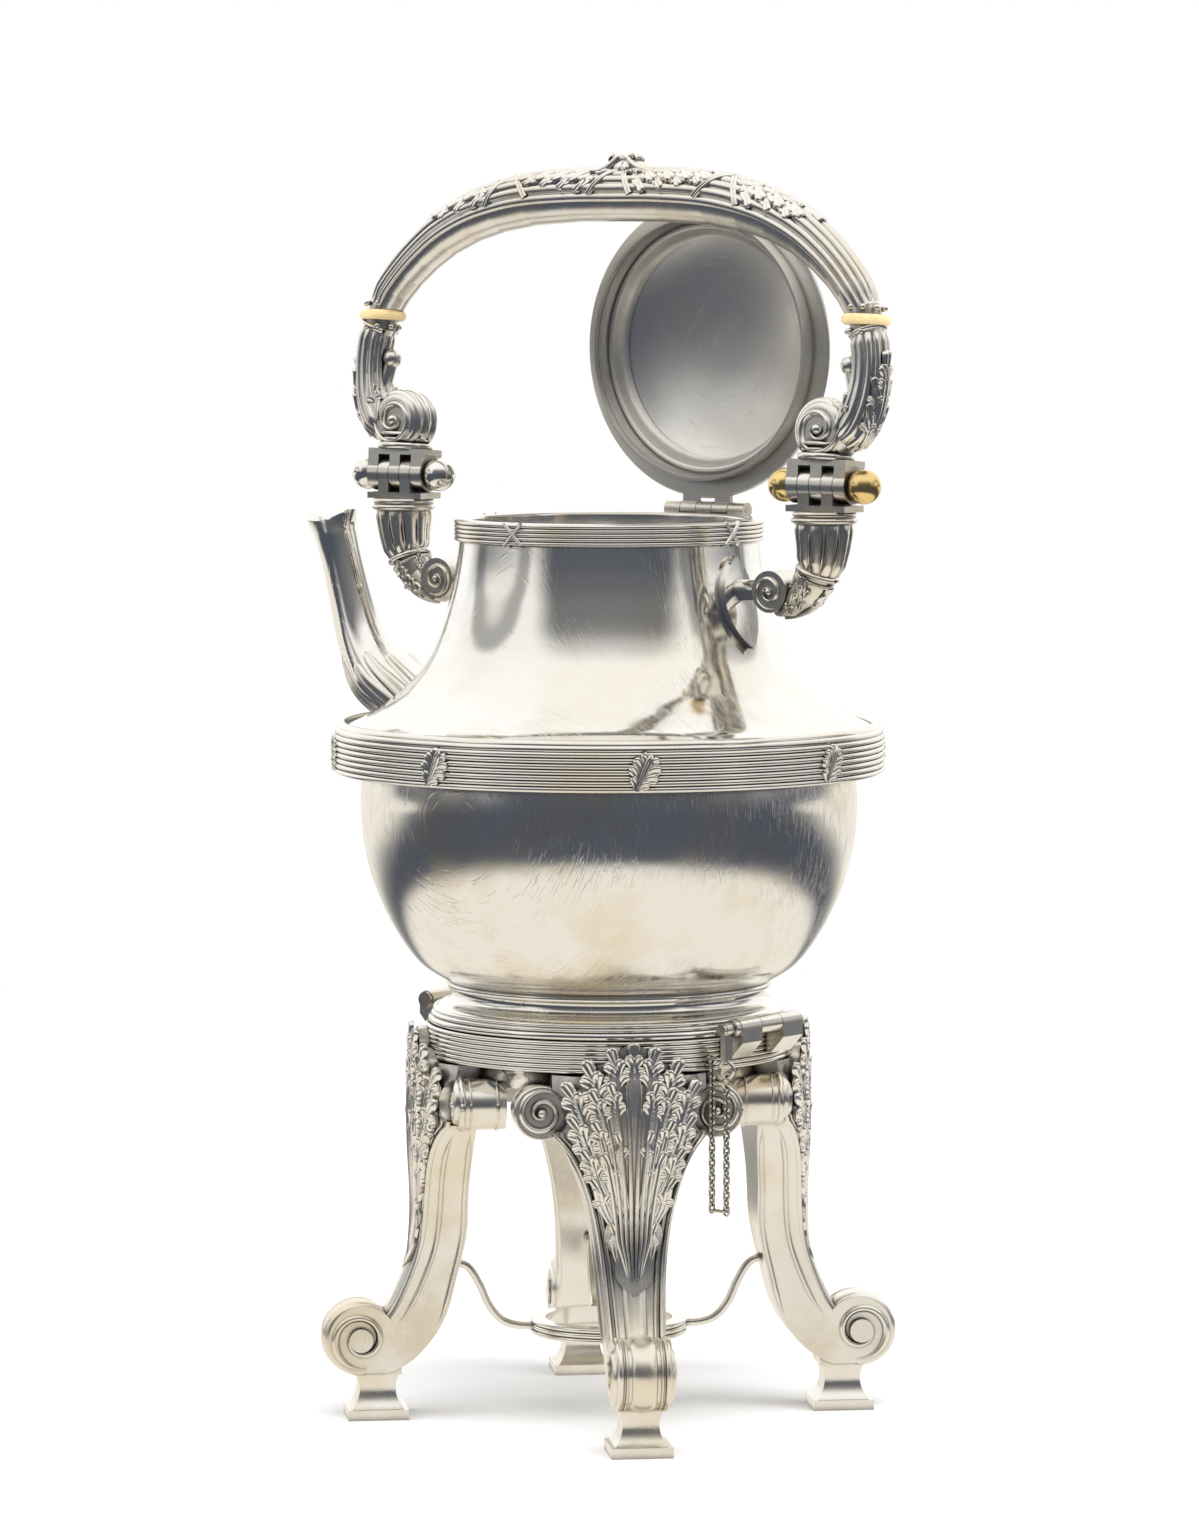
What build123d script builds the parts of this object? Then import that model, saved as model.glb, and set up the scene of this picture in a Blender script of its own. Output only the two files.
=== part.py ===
from build123d import *
from math import cos, hypot, radians, sin, sqrt
import os

# Spirit kettle on stand: a silver kettle that tilts on a four-legged stand.
#
# Millimetres, +Z up. The origin is on the floor, midway between the four plinth feet.
# The spout points along -X, the lock pin is on the +X side and the lid hinge is on the +Y side.

# ---- fits -----------------------------------------------------------------------------------
RUN_FIT = 0.05  # radial clearance of a pin in a knuckle that turns or slides on it
KNUCKLE_GAP = 0.2  # side play between neighbouring knuckles
SEAT_GAP = 0.3  # space between a moving face and the face that it comes down on

# ---- stand ring -----------------------------------------------------------------------------
RING_R = 52.8  # crest of the reeds
RING_WIDE = 8.8  # from the crest of the reeds in to the bore
RING_BORE_R = RING_R - RING_WIDE
RING_TOP = 113.8
RING_BOTTOM = 104.8
RING_REEDS = 7
REED_DEPTH = 0.6
APRON_BOTTOM = 98.6
APRON_TOP_R = RING_R - 2.6
APRON_BOTTOM_R = RING_R - 8.2
APRON_BORE_R = RING_BORE_R - 1.6

# ---- legs -----------------------------------------------------------------------------------
LEG_COUNT = 4
LEG_START = 45.0  # bearing of the first leg, in degrees from +X
KNEE_ROUND_R = 32.7  # the knee is rounded in plan about a vertical axis
KNEE_R = RING_R + 5.2  # radius of the knee's crest from the kettle's axis
SCROLL_R = 9.7
SCROLL_AT = 72.6  # radius of the foot scroll's axis from the kettle's axis
SCROLL_Z = 23.3
SCROLL_BOSS = 1.7  # how far a side boss stands out of the scroll
SCROLL_BOSS_R = 3.4
LEAF_THICK = 1.5
LEAF_TOP = 112.8
LEAF_BOTTOM = 42.0
VOLUTE_R = 7.3
VOLUTE_OFFSET = 24.8  # sideways from the leg's middle plane
VOLUTE_Z = 93.3
VOLUTE_OUT = KNEE_R - 11.5
VOLUTE_IN = KNEE_R - 25.0

# ---- plinth feet ----------------------------------------------------------------------------
PLINTH_AT = 67.6
PLINTH_BASE = 17.4
PLINTH_BASE_HIGH = 3.0
PLINTH_NECK = 10.4
PLINTH_CAP = 13.6
PLINTH_CAP_HIGH = 2.4
PLINTH_HIGH = 15.4

# ---- burner ring ----------------------------------------------------------------------------
BURNER_R = 22.6
BURNER_BORE_R = 18.3
BURNER_BOTTOM = 23.0
BURNER_TOP = 27.5
BURNER_REEDS = 3
STRUT_R = 1.2

# ---- tilt hinges ----------------------------------------------------------------------------
TILT_Z = 117.0
TILT_BARREL_R = 2.6
TILT_PIN_R = 1.4
TILT_LENGTH = 28.7
TILT_WEB = 2.2
LOCK_HEAD_R = 2.5
LOCK_HEAD_LONG = 2.0
LOCK_TIP_LONG = 1.6
PULL_RING_R = 2.9
PULL_WIRE_R = 0.55
PULL_DROP = 11.3  # from the pin's axis to the middle of the pull ring
STRAP_WIDE = 3.4
STRAP_THICK = 0.8

# ---- chain ----------------------------------------------------------------------------------
LINK_WIRE_R = 0.36
LINK_LONG = 3.7
LINK_WIDE = 2.3
CHAIN_PITCH = 2.12
STAPLE_LINKS = 20  # in the strand that hangs from the staple
PIN_LINKS = 17  # in the strand that hangs from the pull ring
STAPLE_OUT = 1.6  # from the reeds to the strand that hangs from the staple
STAPLE_EYE_R = 1.2
JUMP_R = 2.0

# ---- kettle body ----------------------------------------------------------------------------
WALL = 1.0
BOWL_R = 71.3
BOWL_Z = 177.0
BOWL_FLOOR_DROP = 5.0  # from the bowl's edge in the foot down to its flat floor
BAND_BOTTOM = 186.0
BAND_R = BOWL_R + 7.9
BAND_REEDS = 8
BAND_REEDS_TOP = 197.3
BAND_TOP = 200.5
BAND_WALL = 1.2
CLASP_COUNT = 8
CLASP_OUT = 1.3
COLLAR_R = 44.4
COLLAR_WIDE = 4.4  # from the crest of the reeds in to the mouth
COLLAR_BORE_R = COLLAR_R - COLLAR_WIDE
COLLAR_BOTTOM = 252.0
COLLAR_TOP = 258.5
COLLAR_REEDS = 4
RIBBON_WIDE = 1.5
RIBBON_OUT = 0.7
FOOT_GAP = 0.4  # the kettle hangs on its tilt pins, just clear of the ring
FOOT_RIM_R = RING_R - 0.8
FOOT_BEAD_R = FOOT_RIM_R - 5.4

# ---- spout ----------------------------------------------------------------------------------
SPOUT_WALL = 1.0
MOUNT_OUT = 1.0  # the mount leaf stands this far out of the spout
MOUNT_STATIONS = 3  # how many of the spout's stations the mount leaf wraps

# ---- handle ---------------------------------------------------------------------------------
KNUCKLE_AT = COLLAR_R + 31.9  # radius of the knuckle's middle from the kettle's axis
KNUCKLE_Z = 269.5
KNUCKLE_LEAVES = 5
KNUCKLE_LONG = 20.3
KNUCKLE_R = 5.0
KNUCKLE_PIN_R = 2.0
BALL_R = 4.85
HANDLE_SWING = 5.0  # the handle leans this far towards the lid at rest
INSULATOR_AT = KNUCKLE_AT + 11.2
INSULATOR_Z = 315.9
INSULATOR_R = 6.95
INSULATOR_HIGH = 3.0
TENON_R = 2.4
TENON_LONG = 5.0
BULB_R = 8.4
BULB_AT = KNUCKLE_AT + 0.5
BULB_Z = 285.0
BULB_WIDE = 11.0
ARM_SCROLL_R = 5.9
ARM_SCROLL_AT = COLLAR_R + 15.9
ARM_SCROLL_Z = 239.5
ARM_SCROLL_WIDE = 9.0
BOSS_Z = 236.0
BOSS_HIGH = 26.0
BOSS_WIDE = 14.0
BOSS_OUT = 2.2

# ---- lid ------------------------------------------------------------------------------------
LID_R = COLLAR_R - 0.6
LID_WALL = 0.9
LID_RIM_HIGH = 2.2
LID_DOME_R = LID_R - 5.8
LID_DOME_HIGH = 9.0
BEZEL_R = COLLAR_BORE_R - 1.4
BEZEL_DEEP = 5.0
LID_BARREL_R = 2.3
LID_PIN_R = 1.0
LID_HINGE_LONG = 28.9
LID_HINGE_LEAVES = 5
LID_HINGE_Z = COLLAR_TOP + 1.0
LID_HINGE_Y = COLLAR_R + LID_BARREL_R + SEAT_GAP
LID_OPEN = 90.0
FINIAL_R = 4.8

# ---- places worked out from the sizes above ---------------------------------------------------
FOOT_BOTTOM = RING_TOP + FOOT_GAP
TILT_R = RING_R + TILT_BARREL_R + 0.8  # both tilt axes stand just clear of the reeds
PULL_Y = -TILT_LENGTH / 2 - KNUCKLE_GAP - LOCK_HEAD_LONG - STRAP_WIDE / 2 - 0.1
PULL_WIRE_Z = TILT_Z - PULL_DROP - PULL_RING_R + PULL_WIRE_R
WIRE_D = 2 * LINK_WIRE_R
LINK_HALF = LINK_LONG / 2 - LINK_WIRE_R  # from a link's middle to the wire at its end
LINK_SLACK = 0.06
JUMP_DROP = JUMP_R - LINK_WIRE_R - PULL_WIRE_R - 0.1
PIN_LOWEST = LINK_HALF - 1.12  # the lowest pin link sits loose on the bottom link
PIN_TOP = PIN_LOWEST + (PIN_LINKS - 1) * CHAIN_PITCH + LINK_HALF
PIN_STRAND = PIN_TOP + JUMP_DROP + JUMP_R - WIRE_D - LINK_SLACK
CHAIN_LOW_Z = PULL_WIRE_Z - PIN_STRAND
STAPLE_LOWEST = LINK_HALF - WIRE_D - LINK_SLACK
STAPLE_STRAND = STAPLE_LOWEST * 2 + (STAPLE_LINKS - 1) * CHAIN_PITCH
STAPLE_WIRE_Z = CHAIN_LOW_Z + STAPLE_STRAND
STAPLE_X = sqrt(RING_R**2 - PULL_Y**2) + STAPLE_OUT

SEAM_BEARING = 67.5  # turned faces start and end here, clear of everything mounted on them

os.makedirs("parts", exist_ok=True)


# ---- helpers --------------------------------------------------------------------------------
def save(part, name):
    """Write one piece to its own file."""
    export_step(part, f"parts/{name}.step")


def turned(*edges):
    """Revolve a closed outline of (radius, height) edges about the kettle's axis."""
    face = make_face(Wire(list(edges)).edges())
    return Rot(0, 0, SEAM_BEARING) * revolve(Plane.XZ * face, Axis.Z, 360)


def turned_polygon(points):
    """Revolve a straight-sided (radius, height) outline about the kettle's axis."""
    return turned(*Polyline(*points, close=True).edges())


def reed_edges(radius, depth, low, high, count):
    """Arcs of a reeded wall, from low to high."""
    pitch = (high - low) / count
    edges = []
    for index in range(count):
        start = low + index * pitch
        root = radius - depth
        edges.append(
            ThreePointArc((root, start), (radius, start + pitch / 2), (root, start + pitch))
        )
    return edges


def outward(outline, reach):
    """An outline seen from outside on bearing 0, run out along +X from the kettle's axis."""
    return extrude(Plane.YZ * outline, reach, dir=(1, 0, 0))


def facing_front(shape):
    """A piece built at the rear, turned round to the front (-X)."""
    return Rot(0, 0, 180) * shape


def ball(centre, radius):
    """A ball about a point."""
    return Pos(*centre) * Sphere(radius)


def rod(start, end, radius):
    """A round bar between two points."""
    along = Vector(*end) - Vector(*start)
    plane = Plane(origin=start, z_dir=along)
    return extrude(plane * Circle(radius), along.length)


def box_between(low, high):
    """A block between two opposite corners."""
    size = [high[i] - low[i] for i in range(3)]
    middle = [(high[i] + low[i]) / 2 for i in range(3)]
    return Pos(*middle) * Box(*size)


def tube_loft(stations):
    """A round bar through (x, z, diameter) stations in the XZ plane, square to its own run."""
    sections = []
    last = len(stations) - 1
    for index, (x, z, size) in enumerate(stations):
        before = stations[max(index - 1, 0)]
        after = stations[min(index + 1, last)]
        run = Vector(after[0] - before[0], 0, after[1] - before[1])
        sections.append(Plane(origin=(x, 0, z), x_dir=(0, 1, 0), z_dir=run) * Circle(size / 2))
    return loft(sections, ruled=True)


# ---- stand ----------------------------------------------------------------------------------
def ring_envelope():
    """Everything inside the stand ring and its apron, for seating pieces against them."""
    return turned(
        *Polyline((0, APRON_BOTTOM), (APRON_BOTTOM_R, APRON_BOTTOM)).edges(),
        ThreePointArc(
            (APRON_BOTTOM_R, APRON_BOTTOM),
            (APRON_BOTTOM_R + 1.6, (APRON_BOTTOM + RING_BOTTOM) / 2 + 0.6),
            (APRON_TOP_R, RING_BOTTOM),
        ),
        *Polyline(
            (APRON_TOP_R, RING_BOTTOM), (RING_R, RING_BOTTOM), (RING_R, RING_TOP), (0, RING_TOP)
        ).edges(),
        Line((0, RING_TOP), (0, APRON_BOTTOM)),
    )


def stand_ring():
    """The reeded ring that the kettle's foot comes down on."""
    root = RING_R - REED_DEPTH
    return turned(
        Line((RING_BORE_R, RING_BOTTOM), (root, RING_BOTTOM)),
        *reed_edges(RING_R, REED_DEPTH, RING_BOTTOM, RING_TOP, RING_REEDS),
        Line((root, RING_TOP), (RING_BORE_R, RING_TOP)),
        Line((RING_BORE_R, RING_TOP), (RING_BORE_R, RING_BOTTOM)),
    )


def stand_apron():
    """The cove below the ring, down to the tops of the legs."""
    return turned(
        Line((APRON_BORE_R, APRON_BOTTOM), (APRON_BOTTOM_R, APRON_BOTTOM)),
        ThreePointArc(
            (APRON_BOTTOM_R, APRON_BOTTOM),
            (APRON_BOTTOM_R + 1.6, (APRON_BOTTOM + RING_BOTTOM) / 2 + 0.6),
            (APRON_TOP_R, RING_BOTTOM),
        ),
        Line((APRON_TOP_R, RING_BOTTOM), (RING_BORE_R, RING_BOTTOM)),
        Line((RING_BORE_R, RING_BOTTOM), (APRON_BORE_R, APRON_BOTTOM)),
    )


def leg_front_line(extra=0.0):
    """The outward side of a leg in its radial plane, from the ring down into the foot scroll."""
    top = RING_BOTTOM - 0.8
    knee = KNEE_R - LEAF_THICK + extra
    return Spline(
        (knee - 1.4, top),
        (knee - 0.1, 92.0),
        (knee - 0.4, 78.0),
        (knee - 1.1, 62.0),
        (knee - 0.4, 51.0),
        (knee + 2.4, 41.5),
        (SCROLL_AT - 9.6, SCROLL_Z + 9.0),
        (SCROLL_AT - 5.0, SCROLL_Z + 3.0),
    )


def leg_back_line():
    """The inward side of a leg in its radial plane, from under the scroll up to the apron."""
    return Spline(
        (SCROLL_AT, SCROLL_Z - SCROLL_R),
        (SCROLL_AT - 12.0, 15.3),
        (SCROLL_AT - 19.5, 21.8),
        (48.1, 29.9),
        (45.0, 41.0),
        (42.2, 54.0),
        (41.8, 66.0),
        (41.0, 78.0),
        (APRON_BORE_R - 2.4, RING_BOTTOM - 0.8),
    )


def leg_side_face():
    """The space outward of a leg's back, seen from its side."""
    back = leg_back_line()
    far = SCROLL_AT + 2 * SCROLL_R
    return make_face([
        back,
        *Polyline(back @ 1, (far, (back @ 1).Y), (far, (back @ 0).Y - 4), back @ 0).edges(),
    ])


def knee_rounding(extra=0.0, crown=()):
    """Everything inward of a leg's outer surface, rounded in plan about the knee's own axis."""
    front = leg_front_line(extra)
    axis_at = KNEE_R - KNEE_ROUND_R
    low = SCROLL_Z - SCROLL_R - extra
    top = [front @ 0, *crown]
    inside = make_face([
        front,
        *Polyline(
            front @ 1, (SCROLL_AT, SCROLL_Z), (SCROLL_AT, low), (axis_at, low),
            (axis_at, Vector(top[-1]).Y), *reversed(top),
        ).edges(),
    ])
    outline = inside + Pos(SCROLL_AT, SCROLL_Z) * Circle(SCROLL_R + extra)
    body = revolve(Plane.XZ * outline, Axis((axis_at, 0, 0), (0, 0, 1)), 360)
    return body.rotate(Axis((axis_at, 0, 0), (0, 0, 1)), 180)


def leg_width_face():
    """A leg seen from outside: narrow at the foot, spreading to the knee volutes."""
    top = RING_BOTTOM - 0.8
    side = Spline(
        (7.7, 11.0),
        (7.9, 27.0),
        (8.5, 40.0),
        (9.4, 52.0),
        (11.2, 64.0),
        (14.0, 74.5),
        (18.0, 82.6),
        (VOLUTE_OFFSET - 3.0, VOLUTE_Z - VOLUTE_R + 0.9),
    )
    half = make_face([
        side,
        *Polyline(side @ 1, (VOLUTE_OFFSET - 3.0, top), (0, top), (0, 11.0), side @ 0).edges(),
    ])
    return half + mirror(half, about=Plane.YZ)


def volute_roll(sign, outer):
    """One knee volute, a roll that points outward beside the knee."""
    start = (VOLUTE_IN, sign * VOLUTE_OFFSET, VOLUTE_Z)
    end = (outer, sign * VOLUTE_OFFSET, VOLUTE_Z)
    return rod(start, end, VOLUTE_R)


def leg():
    """One cabriole leg with its foot scroll, on bearing 0."""
    side = extrude(Plane.XZ * leg_side_face(), VOLUTE_OFFSET + 1, both=True)
    width = outward(leg_width_face(), SCROLL_AT + 2 * SCROLL_R)
    body = side & width
    body = body & knee_rounding()
    body = body - ring_envelope()
    for sign in (1, -1):
        body = body - volute_roll(sign, KNEE_R + 5)
    boss_half = 7.9 + SCROLL_BOSS
    body = body + rod((SCROLL_AT, -boss_half, SCROLL_Z), (SCROLL_AT, boss_half, SCROLL_Z), SCROLL_BOSS_R)
    return body.solids().sort_by(SortBy.VOLUME)[-1]


def knee_volutes():
    """The two volutes beside one knee, on bearing 0."""
    envelope = ring_envelope()
    rolls = [volute_roll(sign, VOLUTE_OUT) - envelope for sign in (1, -1)]
    return Compound(children=[Solid(roll.solid().wrapped) for roll in rolls])


def leaf_outline():
    """The lobed outline of the knee's acanthus leaf, seen from outside."""
    valleys = [
        (1.6, LEAF_BOTTOM + 2), (4.6, 54.0), (6.4, 64.0), (9.2, 74.0),
        (13.0, 83.0), (15.5, 92.0), (14.0, 101.0), (6.5, 107.5),
    ]
    tips = [
        (5.2, 48.6), (8.2, 58.6), (10.6, 68.4), (13.9, 77.6),
        (17.2, 87.0), (17.6, 97.0), (12.4, 105.8),
    ]
    edges = [Line((0, LEAF_BOTTOM), valleys[0])]
    for index, tip in enumerate(tips):
        edges.append(ThreePointArc(valleys[index], tip, valleys[index + 1]))
    edges.append(ThreePointArc(valleys[-1], (3.6, LEAF_TOP - 0.8), (0, LEAF_TOP)))
    edges.append(Line((0, LEAF_TOP), (0, LEAF_BOTTOM)))
    half = make_face(edges)
    return half + mirror(half, about=Plane.YZ)


def knee_leaf():
    """The acanthus leaf over one knee and up over the reeds, on bearing 0."""
    crown = ((KNEE_R - 2.0, RING_TOP - 4.0), (KNEE_R - 2.8, LEAF_TOP + 1.0))
    cover = knee_rounding(LEAF_THICK, crown) - knee_rounding()
    cover = cover & box_between((KNEE_R - 16, -30, LEAF_BOTTOM - 5), (KNEE_R + 6, 30, LEAF_TOP + 0.5))
    leaf = (cover & outward(leaf_outline(), SCROLL_AT)) - ring_envelope()
    for sign in (1, -1):
        leaf = leaf - volute_roll(sign, KNEE_R + 5)
    return leaf.solids().sort_by(SortBy.VOLUME)[-1]


def plinth_profile():
    """Half the outline of a plinth foot: base, scotia neck and cap."""
    base = PLINTH_BASE / 2
    neck = PLINTH_NECK / 2
    cap = PLINTH_CAP / 2
    cap_low = PLINTH_HIGH - PLINTH_CAP_HIGH
    middle = (PLINTH_BASE_HIGH + cap_low) / 2
    half = make_face([
        *Polyline((0, 0), (base, 0), (base, PLINTH_BASE_HIGH)).edges(),
        Line((base, PLINTH_BASE_HIGH), (base - 1.2, PLINTH_BASE_HIGH)),
        ThreePointArc((base - 1.2, PLINTH_BASE_HIGH), (neck, middle), (cap - 0.6, cap_low)),
        *Polyline(
            (cap - 0.6, cap_low), (cap, cap_low), (cap, PLINTH_HIGH), (0, PLINTH_HIGH), (0, 0)
        ).edges(),
    ])
    return half + mirror(half, about=Plane.YZ)


def plinth_foot(own_leg):
    """One square plinth foot under a scroll, on bearing 0."""
    outline = plinth_profile()
    across = extrude(Plane.XZ * outline, PLINTH_BASE, both=True)
    along = extrude(Plane.YZ * outline, PLINTH_BASE, both=True)
    foot = Pos(PLINTH_AT, 0, 0) * (across & along)
    return (foot - own_leg).solids().sort_by(SortBy.VOLUME)[-1]


def burner_ring():
    """The small reeded ring that a spirit lamp drops into."""
    root = BURNER_R - REED_DEPTH
    return turned(
        Line((BURNER_BORE_R, BURNER_BOTTOM), (root, BURNER_BOTTOM)),
        *reed_edges(BURNER_R, REED_DEPTH, BURNER_BOTTOM, BURNER_TOP, BURNER_REEDS),
        Line((root, BURNER_TOP), (BURNER_BORE_R, BURNER_TOP)),
        Line((BURNER_BORE_R, BURNER_TOP), (BURNER_BORE_R, BURNER_BOTTOM)),
    )


def burner_strut(own_leg):
    """One S-shaped rod from a leg to the burner ring, on bearing 0."""
    middle = (BURNER_BOTTOM + BURNER_TOP) / 2
    path = FilletPolyline(
        (46.5, 0, 42.4), (39.6, 0, 42.0), (31.0, 0, middle), (BURNER_R - 1.6, 0, middle), radius=5.0
    )
    plane = Plane(origin=path @ 0, z_dir=path % 0)
    strut = sweep(plane * Circle(STRUT_R), path=path)
    rim = turned_polygon([
        (0, BURNER_BOTTOM), (BURNER_R, BURNER_BOTTOM), (BURNER_R, BURNER_TOP), (0, BURNER_TOP)
    ])
    strut = strut - rim - own_leg
    return strut.solids().sort_by(SortBy.VOLUME)[-1]


# ---- tilt hinges ----------------------------------------------------------------------------
def knuckle_spans():
    """The three knuckles of a tilt hinge, low to high: stand, kettle, stand."""
    third = TILT_LENGTH / 3
    half = TILT_LENGTH / 2
    inner = third / 2
    return [(-half, -inner - KNUCKLE_GAP), (-inner, inner), (inner + KNUCKLE_GAP, half)]


def barrel(span, bore):
    """One round knuckle on the tilt axis at the rear, with its bore."""
    low, high = span
    outside = rod((TILT_R, low, TILT_Z), (TILT_R, high, TILT_Z), TILT_BARREL_R)
    hole = rod((TILT_R, low - 1, TILT_Z), (TILT_R, high + 1, TILT_Z), bore)
    return outside, hole


def hinge_ears(bore):
    """The stand's two outer knuckles and their brackets on the ring, at the rear."""
    ears = []
    for span in (knuckle_spans()[0], knuckle_spans()[2]):
        outside, hole = barrel(span, bore)
        out = TILT_R + TILT_BARREL_R
        bracket = make_face(Polyline(
            (RING_R - 4, RING_BOTTOM + 3.2), (RING_R + 1.6, RING_BOTTOM + 3.2),
            (out, RING_TOP - 1.0), (out, TILT_Z), (TILT_R - TILT_BARREL_R, TILT_Z),
            (TILT_R - TILT_BARREL_R, RING_TOP), (RING_R - 4, RING_TOP), close=True,
        ).edges())
        web = extrude(Plane.XZ * bracket, span[1] - span[0], dir=(0, 1, 0))
        ear = outside + Pos(0, span[0], 0) * web
        ear = ear - ring_envelope() - hole
        ears.append(Solid(ear.solids().sort_by(SortBy.VOLUME)[-1].wrapped))
    return Compound(children=ears)


def front_hinge_pin():
    """The fixed pin of the front tilt hinge, with a disc riveted over each end."""
    half = TILT_LENGTH / 2
    pin = rod((-TILT_R, -half, TILT_Z), (-TILT_R, half, TILT_Z), TILT_PIN_R)
    for sign in (1, -1):
        pin = pin + rod(
            (-TILT_R, sign * half, TILT_Z), (-TILT_R, sign * (half + 1.0), TILT_Z), TILT_BARREL_R - 0.3
        )
    return pin


def lock_pin():
    """The pin that locks the kettle level; it draws out towards -Y by its head."""
    half = TILT_LENGTH / 2
    head = -half - LOCK_HEAD_LONG - KNUCKLE_GAP
    neck = PULL_Y - STRAP_WIDE / 2 - 0.1
    shaft = rod((TILT_R, head, TILT_Z), (TILT_R, half + LOCK_TIP_LONG, TILT_Z), TILT_PIN_R)
    disc = rod((TILT_R, head, TILT_Z), (TILT_R, -half - KNUCKLE_GAP, TILT_Z), LOCK_HEAD_R)
    spindle = rod((TILT_R, neck, TILT_Z), (TILT_R, head, TILT_Z), TILT_PIN_R - 0.5)
    cap = rod((TILT_R, neck - 1.0, TILT_Z), (TILT_R, neck, TILT_Z), TILT_PIN_R + 0.2)
    pin = shaft + disc + spindle + cap
    return fillet(pin.edges().group_by(Axis.Y)[-1], TILT_PIN_R * 0.6)


def torus_at(centre, ring_r, wire_r, normal):
    """A round wire ring about a point."""
    plane = Plane(origin=centre, z_dir=normal)
    return plane * Torus(ring_r, wire_r)


def lock_pin_pull():
    """The strap folded round the pin's spindle, and the ring that it ends in."""
    spindle_r = TILT_PIN_R - 0.5
    low = PULL_Y - STRAP_WIDE / 2
    high = PULL_Y + STRAP_WIDE / 2
    eye_r = spindle_r + STRAP_THICK
    ring_z = TILT_Z - PULL_DROP
    eye = rod((TILT_R, low, TILT_Z), (TILT_R, high, TILT_Z), eye_r)
    strap = box_between(
        (TILT_R - STRAP_THICK, low, ring_z + PULL_RING_R - PULL_WIRE_R),
        (TILT_R + STRAP_THICK, high, TILT_Z),
    )
    hole = rod((TILT_R, low - 1, TILT_Z), (TILT_R, high + 1, TILT_Z), spindle_r)
    ring = torus_at((TILT_R, PULL_Y, ring_z), PULL_RING_R - PULL_WIRE_R, PULL_WIRE_R, (0, 1, 0))
    return (eye + strap - hole) + ring


# ---- chain ----------------------------------------------------------------------------------
def link(long, wide):
    """A chain link standing in the XZ plane, long way up."""
    straight = long - wide
    turn_r = wide / 2 - LINK_WIRE_R
    half = straight / 2
    path = Wire([
        Line((turn_r, 0, -half), (turn_r, 0, half)),
        ThreePointArc((turn_r, 0, half), (0, 0, half + turn_r), (-turn_r, 0, half)),
        Line((-turn_r, 0, half), (-turn_r, 0, -half)),
        ThreePointArc((-turn_r, 0, -half), (0, 0, -half - turn_r), (turn_r, 0, -half)),
    ])
    plane = Plane(origin=(turn_r, 0, 0), z_dir=(0, 0, 1))
    return sweep(plane * Circle(LINK_WIRE_R), path=path)


def strand_links(x, lowest, count, first_turned):
    """Links in a vertical run, each turned a quarter from the one below it."""
    base = link(LINK_LONG, LINK_WIDE)
    turned_link = Rot(0, 0, 90) * base
    links = []
    for index in range(count):
        shape = turned_link if (index % 2 == 0) == first_turned else base
        links.append(Pos(x, PULL_Y, lowest + index * CHAIN_PITCH) * shape)
    return links


def bottom_link():
    """The link that joins the two strands, lying along X."""
    long = (TILT_R - STAPLE_X) + 2 * LINK_WIRE_R
    lying = Rot(90, 0, 0) * (Rot(0, 90, 0) * link(long, LINK_WIDE))
    return Pos((TILT_R + STAPLE_X) / 2, PULL_Y, CHAIN_LOW_Z) * lying


def gathered(shapes):
    """Separate solids kept in one piece."""
    return Compound(children=[Solid(shape.solid().wrapped) for shape in shapes])


def chain_staple_strand():
    """The strand that hangs from the staple, with the bottom link."""
    links = strand_links(STAPLE_X, CHAIN_LOW_Z + STAPLE_LOWEST, STAPLE_LINKS, False)
    return gathered(links + [bottom_link()])


def chain_pin_strand():
    """The strand that hangs from the pull ring, with its jump ring."""
    links = strand_links(TILT_R, CHAIN_LOW_Z + PIN_LOWEST, PIN_LINKS, False)
    jump = torus_at((TILT_R, PULL_Y, PULL_WIRE_Z - JUMP_DROP), JUMP_R, LINK_WIRE_R, (1, 0, 0))
    return gathered(links + [jump])


def chain_staple():
    """The eye on the reeds that the chain hangs from."""
    eye_z = STAPLE_WIRE_Z + STAPLE_EYE_R
    eye = torus_at((STAPLE_X, PULL_Y, eye_z), STAPLE_EYE_R, LINK_WIRE_R, (0, 1, 0))
    stem = rod(
        (STAPLE_X - STAPLE_OUT - 2, PULL_Y, eye_z), (STAPLE_X - STAPLE_EYE_R, PULL_Y, eye_z), 0.7
    )
    return (eye + stem - ring_envelope()).solids().sort_by(SortBy.VOLUME)[-1]


# ---- kettle body ----------------------------------------------------------------------------
BOWL_SHARES = [(0.0, 126.0), (0.3185, 131.2), (0.5968, 140.6), (0.8266, 152.6), (0.9597, 165.0)]
BOWL_LINE = [
    (FOOT_BEAD_R - 0.1 + share * (BOWL_R - FOOT_BEAD_R + 0.1), height)
    for share, height in BOWL_SHARES
] + [(BOWL_R, BOWL_Z), (BOWL_R - 0.6, BAND_BOTTOM)]
NECK_SHARES = [
    (0.7672, 201.0), (0.6494, 203.4), (0.5, 207.1), (0.3563, 211.6),
    (0.2155, 218.1), (0.1121, 226.2), (0.0316, 236.0), (-0.0115, 243.5),
]
NECK_LINE = [(BAND_R - 3.7, BAND_TOP - 1.3)] + [
    (COLLAR_R + share * (BAND_R - COLLAR_R), height) for share, height in NECK_SHARES
] + [(COLLAR_R - 1.5, COLLAR_BOTTOM)]
LID_LINE = [
    (LID_R - 1.0, 1.4), (LID_R - 3.4, 2.5), (LID_R - 7.0, 4.2), (29.0, 7.6), (17.0, 10.4), (0.0, 11.6)
]


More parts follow.
